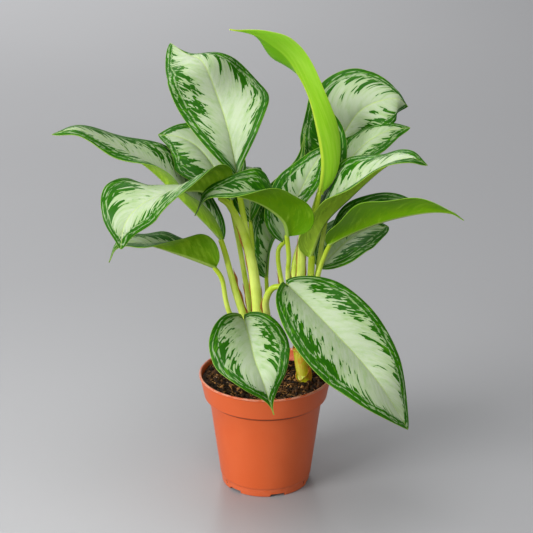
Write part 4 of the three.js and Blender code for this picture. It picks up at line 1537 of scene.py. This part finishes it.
@dataclass
class PeatFill:
    """Peat that fills the pot to below its rim, with loose crumbs and fibres on top, in mm."""

    top: float = 94.5
    crown: float = 2.2
    crown_radius: float = 55.4
    radius: float = 55.3
    heap: float = 6.5
    heap_reach: Pair = (12.0, 50.0)
    lump_height: float = 0.55
    ripple_height: float = 0.45
    ripple_lengths: Triple = (6.0, 3.1, 1.9)
    ripple_seed: int = 5
    bottom: float = 5.0
    wall: tuple[Pair, ...] = ((20.0, 5.0), (37.8, 5.0), (39.0, 9.0), (48.4, 80.0), (53.0, 85.5))
    columns: int = 150
    rings: int = 46
    innermost: float = 0.985
    flare: float = 300.0
    loose_radius: float = 53.5
    crumbs: int = 1500
    crumb_seed: int = 11
    crumb_radii: Pair = (0.6, 2.4)
    crumb_tones: Pair = (0.0, 0.76)
    specks: int = 26
    speck_seed: int = 17
    speck_radii: Pair = (0.5, 1.0)
    speck_tones: Pair = (0.9, 1.0)
    fibres: int = 360
    fibre_seed: int = 23
    fibre_lengths: Pair = (2.5, 11.0)
    fibre_radii: Pair = (0.12, 0.42)
    fibre_tones: Pair = (0.5, 0.95)
    fibre_reach: float = 54.0
    twig_radius: float = 0.5
    twig_tone: float = 0.88
    twigs: tuple[tuple[float, float, float, float], ...] = (
        (21.0, -12.0, 11.0, 40.0), (21.0, -12.0, 9.0, 115.0), (-40.0, 16.5, 10.0, 60.0),
    )

    def height(self, place: Array) -> Array:
        """Height of the surface.

        A crown that falls by the square of the radius, the lumps of the solid, which are
        products of sines and cosines of the place, finer seeded lumps, and a heap that rises by
        a soft step towards the left wall.

        Args:
            place: Rows of x and y.

        Returns:
            A height for each row.
        """
        x, y = place[:, 0], place[:, 1]
        low = np.sin(x / 5.1) * np.cos(y / 4.3) + np.sin((x + y) / 7.9) * np.cos((x - y) / 3.7)
        crown = self.crown * (1 - (x * x + y * y) / self.crown_radius**2)
        heap = self.heap * soft_step(*self.heap_reach, -x)
        fine = ripples(place, self.ripple_lengths, self.ripple_seed)
        return self.top + crown + heap + self.lump_height * low + self.ripple_height * fine

    def mound(self) -> Skin:
        """The peat's body.

        Rings run from the middle of its underside up the wall and over the top, where the
        radius falls in nearly even steps to close to the middle. Where the top stands high at
        the wall it widens with the pot, by the sixth power of the radius.

        Returns:
            A closed skin.
        """
        columns = self.columns
        turn = np.linspace(0, TURN, columns, endpoint=False)
        spread = np.stack([np.cos(turn), np.sin(turn)], -1)
        rings = [np.hstack([spread * r, np.full((columns, 1), z)]) for r, z in self.wall]
        for share in 1 - np.linspace(0, self.innermost, self.rings) ** 1.05:
            flat = spread * (self.radius * share)
            height = self.height(flat)[:, None]
            wider = 1 + np.maximum(height - self.top, 0) / self.flare * share**6
            rings.append(np.hstack([flat * wider, height]))
        count = len(rings)
        middle = np.array([[0, 0, self.bottom], [0, 0, rings[-1][:, 2].mean()]])
        faces = [grid_faces(count, columns, closed=True),
                 fan(np.arange(columns), count * columns, flipped=True),
                 fan(np.arange(columns) + (count - 1) * columns, count * columns + 1)]
        return Skin(np.vstack([*rings, middle]), faces)

    def scatter(self, count: int, seed: int) -> tuple[Array, np.random.Generator]:
        """Seeded places on the surface, clear of the wall.

        Args:
            count: How many places.
            seed: Their choice.

        Returns:
            Rows of places, and the generator for further draws.
        """
        rng = np.random.default_rng(seed)
        radius = self.loose_radius * np.sqrt(rng.uniform(0.002, 1, count))
        turn = rng.uniform(0, TURN, count)
        flat = np.stack([radius * np.cos(turn), radius * np.sin(turn)], -1)
        return np.hstack([flat, self.height(flat)[:, None]]), rng

    def crumb_skin(self, count: int, seed: int, size: Pair, tone: Pair) -> Skin:
        """Many small uneven lumps.

        Each is a ball of six sectors and three rings whose corners are pushed in and out at
        random, stretched on three random axes and set down on the surface.

        Args:
            count: Lumps.
            seed: Their choice.
            size: Least and greatest radius.
            tone: Least and greatest tone.

        Returns:
            The skin of all the lumps.
        """
        place, rng = self.scatter(count, seed)
        sectors = 6
        turn = np.linspace(0, TURN, sectors, endpoint=False)
        rise = np.radians([-42.0, 0.0, 42.0])
        ball = np.stack([np.outer(np.cos(rise), np.cos(turn)), np.outer(np.cos(rise), np.sin(turn)),
                         np.repeat(np.sin(rise)[:, None], sectors, 1)], -1)
        ball = np.vstack([ball.reshape(-1, 3), [[0, 0, -1], [0, 0, 1]]])
        radius = rng.uniform(*size, count)
        shape = rng.uniform(0.55, 1.35, (count, 1, 3)) * radius[:, None, None]
        rough = rng.uniform(0.72, 1.25, (count, len(ball), 1))
        turned = np.linalg.qr(rng.normal(size=(count, 3, 3)))[0]
        turned[:, :, 0] *= np.sign(np.linalg.det(turned))[:, None]
        lumps = (ball[None] * rough * shape) @ np.transpose(turned, (0, 2, 1))
        points = (lumps + place[:, None]).reshape(-1, 3)
        quads = grid_faces(3, sectors, closed=True)
        fans = np.vstack([fan(np.arange(sectors), 3 * sectors, flipped=True),
                          fan(np.arange(sectors) + 2 * sectors, 3 * sectors + 1)])
        shift = (np.arange(count) * len(ball))[:, None, None]
        faces = [(quads[None] + shift).reshape(-1, 4), (fans[None] + shift).reshape(-1, 3)]
        tones = np.repeat(mix(*tone, rng.uniform(0, 1, count) ** 1.9), len(ball))
        return toned(points, faces, tones)

    def fibre_skin(self) -> Skin:
        """Thin curved fibres that lie on the peat.

        Each is a four-sided thread whose middle line bends evenly in its plane and rises in a
        low arch, thinner towards both ends. The first few are the twigs, whose places, lengths
        and headings are given.

        Returns:
            The skin of all the fibres.
        """
        place, rng = self.scatter(self.fibres, self.fibre_seed)
        rings, corners = 9, 4
        run = np.linspace(-0.5, 0.5, rings)
        length = rng.uniform(*self.fibre_lengths, self.fibres)
        bend = rng.normal(0, 1.1, self.fibres)
        heading = rng.uniform(0, TURN, self.fibres)
        twigs = np.array(self.twigs)
        flat = twigs[:, :2]
        place[: len(twigs)] = np.hstack([flat, self.height(flat)[:, None]])
        length[: len(twigs)], heading[: len(twigs)] = twigs[:, 2], np.radians(twigs[:, 3])
        turn = heading[:, None] + bend[:, None] * run[None]
        step = length[:, None] / (rings - 1)
        back = 0.5 * length[:, None]
        x = np.cumsum(np.cos(turn) * step, axis=1) - back * np.cos(heading)[:, None]
        y = np.cumsum(np.sin(turn) * step, axis=1) - back * np.sin(heading)[:, None]
        lift = rng.uniform(0.2, 2.0, self.fibres)[:, None] * (1 - 4 * run**2)[None]
        tilt = rng.normal(0, 0.18, self.fibres)[:, None] * run[None] * length[:, None]
        middle = place[:, None] + np.stack([x, y, lift + tilt + 0.3], -1)
        reach = np.linalg.norm(middle[..., :2], axis=-1, keepdims=True)
        middle[..., :2] *= np.minimum(1.0, self.fibre_reach / np.maximum(reach, 1e-6))
        thick = rng.uniform(*self.fibre_radii, self.fibres)[:, None]
        thick[: len(twigs)] = self.twig_radius
        thick = thick * (1.05 - 1.7 * run**2)[None]
        side = np.stack([-np.sin(turn), np.cos(turn), np.zeros_like(turn)], -1)
        up = np.array([0.0, 0.0, 1.0])
        angle = np.linspace(0, TURN, corners, endpoint=False)
        ring = (side[:, :, None] * np.cos(angle)[None, None, :, None]
                + up * np.sin(angle)[None, None, :, None]) * thick[..., None, None]
        points = (middle[:, :, None] + ring).reshape(-1, 3)
        shift = (np.arange(self.fibres) * rings * corners)[:, None, None]
        faces = [(bar_faces(rings)[None] + shift).reshape(-1, 4)]
        tone = rng.uniform(*self.fibre_tones, self.fibres)
        tone[: len(twigs)] = self.twig_tone
        return toned(points, faces, np.repeat(tone, rings * corners))

    def build(self, peat: Material, crumb: Material) -> None:
        """Makes the peat and what lies loose on it.

        Args:
            peat: The peat's material.
            crumb: The material of the crumbs and fibres.
        """
        make_piece("peat_fill", self.mound(), peat, ["soil"])
        lumps = merge([
            self.crumb_skin(self.crumbs, self.crumb_seed, self.crumb_radii, self.crumb_tones),
            self.crumb_skin(self.specks, self.speck_seed, self.speck_radii, self.speck_tones),
        ])
        make_piece("peat_crumbs", lumps, crumb)
        make_piece("peat_fibres", self.fibre_skin(), crumb)


# ------------------------------------------------------------------ the blades


@dataclass
class Blade:
    """A leaf's blade as a closed skin."""

    leaf: Leaf
    stations: int = 130
    per_half: int = 28
    margin: float = 0.5
    rib_at_stalk: float = 2.2
    rib_at_tip: float = 0.9
    rib_spread: float = 0.16
    stalk_half_width: float = 1.9
    tip_half_width: float = 0.5
    end_crowding: float = 0.08
    rib_crowding: float = 1.2
    waves: float = 2.5
    wave_shift: float = 0.23
    groove: float = 0.55
    groove_width: float = 1.3
    quilt: float = 0.05
    vein_slant: float = 0.7
    vein_bend: float = 0.45
    lobe_share: float = 0.07
    seed_of_right: float = 3.7

    def half_width(self, half: Half, t: Array) -> Array:
        """Width from midrib to margin in mm.

        The greatest width times a power of the sine of half a turn over t to the power of the
        belly, narrowed to a drip tip beyond its start and by an exponential of t at a tapered
        foot, and never less than the stalk or tip.

        Args:
            half: Half of the blade.
            t: Shares along the midrib.

        Returns:
            A width for each share.
        """
        outline = np.maximum(np.sin(np.pi * t**half.belly), 0) ** half.fullness
        narrowing = 1 - half.point * soft_step(half.point_from, 1, t)
        foot = 1 - np.exp(-t / half.taper) if half.taper else 1.0
        least = mix(self.stalk_half_width, self.tip_half_width, t)
        return np.maximum(half.width * outline * narrowing * foot, least)

    def surface(self, t: Array, u: Array) -> tuple[Array, dict[str, Array]]:
        """The upper side as a function of t along the midrib and u across it.

        A point stands off the midrib by its share of the half width, at the half's fold less
        the roll of its edge, and the margin waves up and down by the square of the share. The
        midrib lies in a groove, the skin swells between the side veins, and a lobe at the foot
        reaches back by an exponential of t.

        Args:
            t: Shares along the midrib.
            u: Shares across, −1 at the left margin and 1 at the right one.

        Returns:
            A grid of points, and grids of what the finishes read.
        """
        leaf = self.leaf
        path = SmoothPath(leaf.midrib)
        place, ahead = path.at(t)
        facing = run_through(leaf.facing, t)
        up = unit(facing - ahead * (facing * ahead).sum(-1, keepdims=True))
        right = np.cross(ahead, up)
        share = np.abs(u)[None]
        on_right = (u > 0)[None]
        width = halved(on_right, self.half_width(leaf.left, t), self.half_width(leaf.right, t))
        fold = halved(on_right, run_through(leaf.left.fold, t), run_through(leaf.right.fold, t))
        greatest = np.where(on_right, leaf.right.width, leaf.left.width)
        angle = np.radians(fold - leaf.edge_roll * share)
        reach = width * share
        phase = TURN * (self.waves * t[:, None] + np.where(on_right, self.wave_shift, 0))
        wave = greatest * leaf.wave_height * share**2 * np.sin(phase) * np.sin(np.pi * t)[:, None]
        slant = self.vein_slant * share + self.vein_bend * share**2
        vein = path.length * t[:, None] - greatest * slant
        swell = np.cos(TURN * vein / VEIN_SPACING) * share * (1 - share) * 4
        groove = np.exp(-((reach / self.groove_width) ** 2)) * (1 - t[:, None]) ** 0.5
        relief = -self.groove * groove
        relief = relief + self.quilt * swell * np.sin(np.pi * np.clip(t, 0, 1))[:, None]
        lift = reach * np.sin(angle) + wave + relief
        back = leaf.lobe * share * np.exp(-t[:, None] / self.lobe_share)
        aside = np.sign(u)[None] * reach * np.cos(angle)
        points = (place[:, None] + right[:, None] * aside[..., None]
                  + up[:, None] * lift[..., None] - ahead[:, None] * back[..., None])
        marks = MARKS[leaf.name]
        start = halved(on_right, run_through(marks.left, t), run_through(marks.right, t))
        whole = np.ones_like(reach)
        seed = leaf_seed(leaf.name) + np.where(on_right, self.seed_of_right, 0.0) * whole
        return points, {
            "blade": np.stack([share * whole, t[:, None] * whole, seed], -1),
            "vein": np.stack([vein, reach, np.zeros_like(reach)], -1),
            "tone": np.stack([start, width - reach, marks.shade * whole], -1),
        }

    def skin(self) -> Skin:
        """Upper side, lower side and the rim between them.

        The lower side is the upper one moved down its own normals by the thickness, which is
        thin at the margin and swells to the rib under the middle. The rows of points crowd at
        both ends of the midrib, and the columns at the rib.

        Returns:
            A closed skin.
        """
        even = np.linspace(0, 1, self.stations)
        t = even - self.end_crowding * np.sin(TURN * even)
        v = np.linspace(-1, 1, 2 * self.per_half + 1)
        u = np.sign(v) * np.abs(v) ** self.rib_crowding
        upper, values = self.surface(t, u)
        along = np.gradient(upper, axis=0)
        over = np.gradient(upper, axis=1)
        normal = unit(np.cross(over, along))
        rib = mix(self.rib_at_stalk, self.rib_at_tip, t) - self.margin
        thick = self.margin + rib[:, None] * np.exp(-((u[None] / self.rib_spread) ** 2))
        lower = upper - normal * thick[..., None]
        rows, columns = upper.shape[:2]
        count = rows * columns
        top = grid_faces(rows, columns)
        i, j = np.arange(rows - 1), np.arange(columns - 1)
        left = np.stack([i * columns + count, i * columns, (i + 1) * columns,
                         (i + 1) * columns + count], -1)
        r = i * columns + columns - 1
        right = np.stack([r, r + count, r + columns + count, r + columns], -1)
        near = np.stack([j + count, j + 1 + count, j + 1, j], -1)
        far = (rows - 1) * columns + j
        end = np.stack([far, far + 1, far + 1 + count, far + count], -1)
        both = {k: np.vstack([g.reshape(-1, 3), g.reshape(-1, 3)]) for k, g in values.items()}
        both["vein"][count:, 2] = 1.0
        points = np.vstack([upper.reshape(-1, 3), lower.reshape(-1, 3)])
        return Skin(points, [top, top[:, ::-1] + count, left, right, near, end], both)

    def build(self, finishes: dict[Slot, Material]) -> None:
        """Makes the blade.

        Args:
            finishes: The material of each kind of blade.
        """
        slot = Slot.YOUNG if self.leaf.young else Slot.VARIEGATED
        name = self.leaf.name.replace("leaf_", "blade_")
        make_piece(name, self.skin(), finishes[slot], [self.leaf.name])


def leaf_seed(name: str) -> float:
    """A fixed number for each leaf, from its place in the table, that picks its noise."""
    return 11.3 * [leaf.name for leaf in LEAVES].index(name)


# ------------------------------------------------------------------ the shoots


@dataclass
class Shoot:
    """A cane, the stalks that run down into it and the dry edges of their sheaths."""

    side: Side
    cane_radii: tuple[float, ...] = (6.3, 6.3, 6.0, 5.2)
    cane_around: int = 40
    cane_steps: int = 90
    cane_seed: float = 0.5
    stalk_around: int = 20
    stalk_steps: int = 70
    flatness: float = 0.86
    inset: float = 1.2
    inset_drop: float = 0.75
    strip_steps: int = 50
    strip_end: float = 0.97
    loose: float = 1.3
    wrap_around: int = 60
    wrap_up: int = 22
    wrap_down: int = 8

    def stalk_path(self, leaf: Leaf) -> SmoothPath:
        """The middle line of a leaf's stalk, from the foot of its blade down into the cane.

        It begins a little way into the blade and under its midrib, so that the two meet.

        Args:
            leaf: The leaf.

        Returns:
            The line.
        """
        start, ahead = (a[0] for a in SmoothPath(leaf.midrib).at(np.array([0.0])))
        facing = np.asarray(leaf.facing[0], float)
        up = unit(facing - ahead * (facing @ ahead))
        inside = start + ahead * self.inset - up * leaf.stalk_radii[0] * self.inset_drop
        return SmoothPath([tuple(inside), *leaf.stalk])

    def stems(self) -> Skin:
        """The cane and all its stalks.

        Returns:
            The skin of all the stems.
        """
        cane = tube(SmoothPath(CANES[self.side]), self.cane_radii, self.cane_around,
                    self.cane_steps, self.cane_seed)
        return merge([cane] + [
            tube(self.stalk_path(leaf), leaf.stalk_radii, self.stalk_around, self.stalk_steps,
                 leaf_seed(leaf.name), self.flatness)
            for leaf in self.leaves()
        ])

    def leaves(self) -> list[Leaf]:
        """The leaves of this shoot."""
        return [leaf for leaf in LEAVES if leaf.side is self.side]

    def dry_edges(self) -> Skin:
        """Thin papery strips along the edges of the sheaths, each ending in a loose tip."""
        return merge([
            self.strip(self.stalk_path(leaf), leaf, *edge)
            for leaf in self.leaves() for edge in SHEATHS.get(leaf.name, PLAIN_EDGES)
        ])

    def strip(self, path: SmoothPath, leaf: Leaf, turn: int, start: float, breadth: float) -> Skin:
        """One papery strip.

        A flat four-sided band runs on the stalk's side and sways round it by a sine. Its width
        is a power of its own length near the tip and then falls evenly, with small waves, and
        its tip stands off the stalk by an exponential of its length.

        Args:
            path: The stalk's middle line.
            leaf: Its leaf.
            turn: −1 for the left side and 1 for the right one.
            start: Share of the stalk where the strip begins.
            breadth: Greatest width in mm.

        Returns:
            A closed skin.
        """
        rows = self.strip_steps
        own = np.linspace(0, 1, rows)
        share = mix(start, self.strip_end, own)
        place, ahead = path.at(share)
        across, deep = square_to(ahead)
        radius = run_through(leaf.stalk_radii, share)
        facing = unit(across * turn + deep * 0.3 * np.sin(own * 9 + start * 40)[:, None])
        off = radius * 0.9 + self.loose * np.exp(-own / 0.05)
        wavy = 1 + 0.3 * np.sin(own * 31 + start * 50)
        width = breadth * np.minimum(own / 0.13, 1.0) ** 0.8 * (1.0 - 0.45 * own) * wavy
        corners = [(0.0, -0.35), (1.0, -0.14), (1.0, 0.14), (0.0, 0.35)]
        lift = unit(np.cross(ahead, facing))
        rings = [place + facing * (off + a * width)[:, None] + lift * b for a, b in corners]
        grid = np.stack(rings, 1).reshape(-1, 3)
        stem = np.stack([np.repeat(own, 4), np.zeros(rows * 4), np.full(rows * 4, start)], -1)
        return Skin(grid, [bar_faces(rows)], {"stem": stem})

    def wrap(self, low: float, high: float, slant: float, heading: float) -> Skin:
        """One old sheath wrapped round the cane.

        A thin sleeve rises from inside the cane to a slanting edge: its end is the high share
        plus the slant times the cosine of the angle from its heading, with small notches of two
        sines, and it flares by the fourth power of its rise. The skin runs up the outside and
        down the inside again, so that it is closed.

        Args:
            low: Share of the cane where it starts.
            high: Mean share where it ends.
            slant: How far the edge leans, as a share.
            heading: Direction of its longest side in degrees.

        Returns:
            A closed skin.
        """
        around, up, down = self.wrap_around, self.wrap_up, self.wrap_down
        rise = np.concatenate([np.linspace(0, 1, up), np.linspace(1, 0.3, down)])[:, None]
        inner = np.concatenate([np.zeros(up), np.linspace(0.5, 1, down)])[:, None]
        angle = np.linspace(0, TURN, around, endpoint=False)[None]
        edge = high + slant * np.cos(angle - math.radians(heading))
        edge = edge + 0.006 * np.sin(5 * angle + heading) + 0.004 * np.sin(11 * angle + low * 90)
        share = mix(low, edge, rise)
        place, ahead = SmoothPath(CANES[self.side]).at(share.ravel())
        across, deep = square_to(ahead)
        swell = mix(-0.8, 0.7, soft_step(0, 0.3, rise)) + 1.5 * rise**4
        reach = run_through(self.cane_radii, share) + swell - inner * (0.9 + 1.2 * (1 - rise))
        turn = np.broadcast_to(angle, share.shape).ravel()
        out = across * np.cos(turn)[:, None] + deep * np.sin(turn)[:, None]
        points = place + out * reach.reshape(-1, 1)
        stem = np.stack([np.broadcast_to(rise, share.shape).ravel(), turn,
                         np.full(turn.shape, heading / 30)], -1)
        faces = grid_faces(up + down, around, closed=True, joined=True)
        return Skin(points, [faces], {"stem": stem})

    def build(self, stalk: Material, sheath: Material, husk: Material) -> None:
        """Makes the shoot's pieces.

        Args:
            stalk: Material of the cane and its stalks.
            sheath: Material of the dry edges.
            husk: Material of the old sheaths.
        """
        name = f"shoot_{self.side.value}"
        make_piece(f"{name}_stems", self.stems(), stalk, [name])
        make_piece(f"{name}_dry_edges", self.dry_edges(), sheath)
        wraps = merge([self.wrap(*wrap) for wrap in WRAPS[self.side]])
        make_piece(f"{name}_old_sheaths", wraps, husk)


# ------------------------------------------------------------------ the studio


@dataclass(frozen=True)
class SoftBox:
    """A square area light."""

    name: str
    place: Triple
    aim: Triple
    size: float
    power: float
    colour: Colour = (1.0, 1.0, 1.0)

    def build(self) -> None:
        """Makes the light, turned to its aim."""
        data = bpy.data.lights.new(self.name, "AREA")
        data.shape, data.size = "SQUARE", self.size
        data.energy, data.color = self.power, self.colour
        lamp = bpy.data.objects.new(self.name, data)
        bpy.context.scene.collection.objects.link(lamp)
        lamp.location = self.place
        lamp.rotation_mode = "QUATERNION"
        lamp.rotation_quaternion = (Vector(self.aim) - Vector(self.place)).to_track_quat("-Z", "Y")


@dataclass
class Studio:
    """Floor, soft light and camera."""

    camera_place: Triple = (0.00078, -1.3113, 0.6972)
    camera_pitch: float = 69.5
    lens: float = 107.53
    sensor: float = 36.0
    clip: Pair = (0.05, 20.0)
    floor_half: float = 4.0
    floor_drop: float = 0.0002
    world: Colour = (0.8, 0.82, 0.85)
    world_strength: float = 0.29
    lights: tuple[SoftBox, ...] = (
        SoftBox("side", (-1.9, -1.4, 1.0), (0.0, 0.0, 0.15), 1.1, 62.0),
        SoftBox("front", (0.5, -2.3, 1.3), (0.0, 0.0, 0.2), 1.3, 14.0),
        SoftBox("overhead", (-0.35, -0.5, 2.7), (0.0, 0.0, 0.0), 2.0, 48.0),
        SoftBox("ground", (-0.9, 2.6, 1.9), (-0.9, 3.2, 0.0), 1.8, 64.0),
    )

    def floor(self) -> None:
        """A wide flat ground under the pot."""
        h, z = self.floor_half, -self.floor_drop
        mesh = bpy.data.meshes.new("ground")
        mesh.from_pydata([(-h, -h, z), (h, -h, z), (h, h, z), (-h, h, z)], [], [(0, 1, 2, 3)])
        mesh.materials.append(StudioFloor().material())
        ground = bpy.data.objects.new("ground", mesh)
        bpy.context.scene.collection.objects.link(ground)

    def camera(self) -> None:
        """The camera at the photograph's angle."""
        data = bpy.data.cameras.new("camera")
        data.sensor_width, data.lens = self.sensor, self.lens
        data.clip_start, data.clip_end = self.clip
        camera = bpy.data.objects.new("camera", data)
        bpy.context.scene.collection.objects.link(camera)
        camera.location = self.camera_place
        camera.rotation_euler = (math.radians(self.camera_pitch), 0.0, 0.0)
        bpy.context.scene.camera = camera

    def build(self) -> None:
        """Makes the whole studio."""
        bpy.context.scene.view_settings.view_transform = "Standard"
        self.floor()
        self.camera()
        for light in self.lights:
            light.build()
        world = bpy.data.worlds.new("studio")
        world.use_nodes = True
        ground = next(n for n in world.node_tree.nodes if n.type == "BACKGROUND")
        ground.inputs[0].default_value = (*self.world, 1.0)
        ground.inputs[1].default_value = self.world_strength
        bpy.context.scene.world = world


def corners(box: tuple) -> list[list[float]]:
    """A box's lowest and highest corner as plain lists."""
    return [[float(x) for x in corner] for corner in box]


def main() -> None:
    """Builds every piece in order."""
    logging.basicConfig(level=logging.INFO, format="%(name)s: %(message)s")
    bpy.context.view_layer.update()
    Studio().build()
    stalk, sheath, husk = (f.material() for f in (FleshyStalk(), PaperySheath(), OldSheath()))
    leaves = {Slot.VARIEGATED: VariegatedLeaf().material(), Slot.YOUNG: YoungLeaf().material()}
    NurseryPot().build(MouldedPlastic().material())
    PeatFill().build(FibrousPeat().material(), PeatCrumb().material())
    for side in Side:
        Shoot(side).build(stalk, sheath, husk)
    for leaf in LEAVES:
        Blade(leaf).build(leaves)


if __name__ == "__main__":
    main()
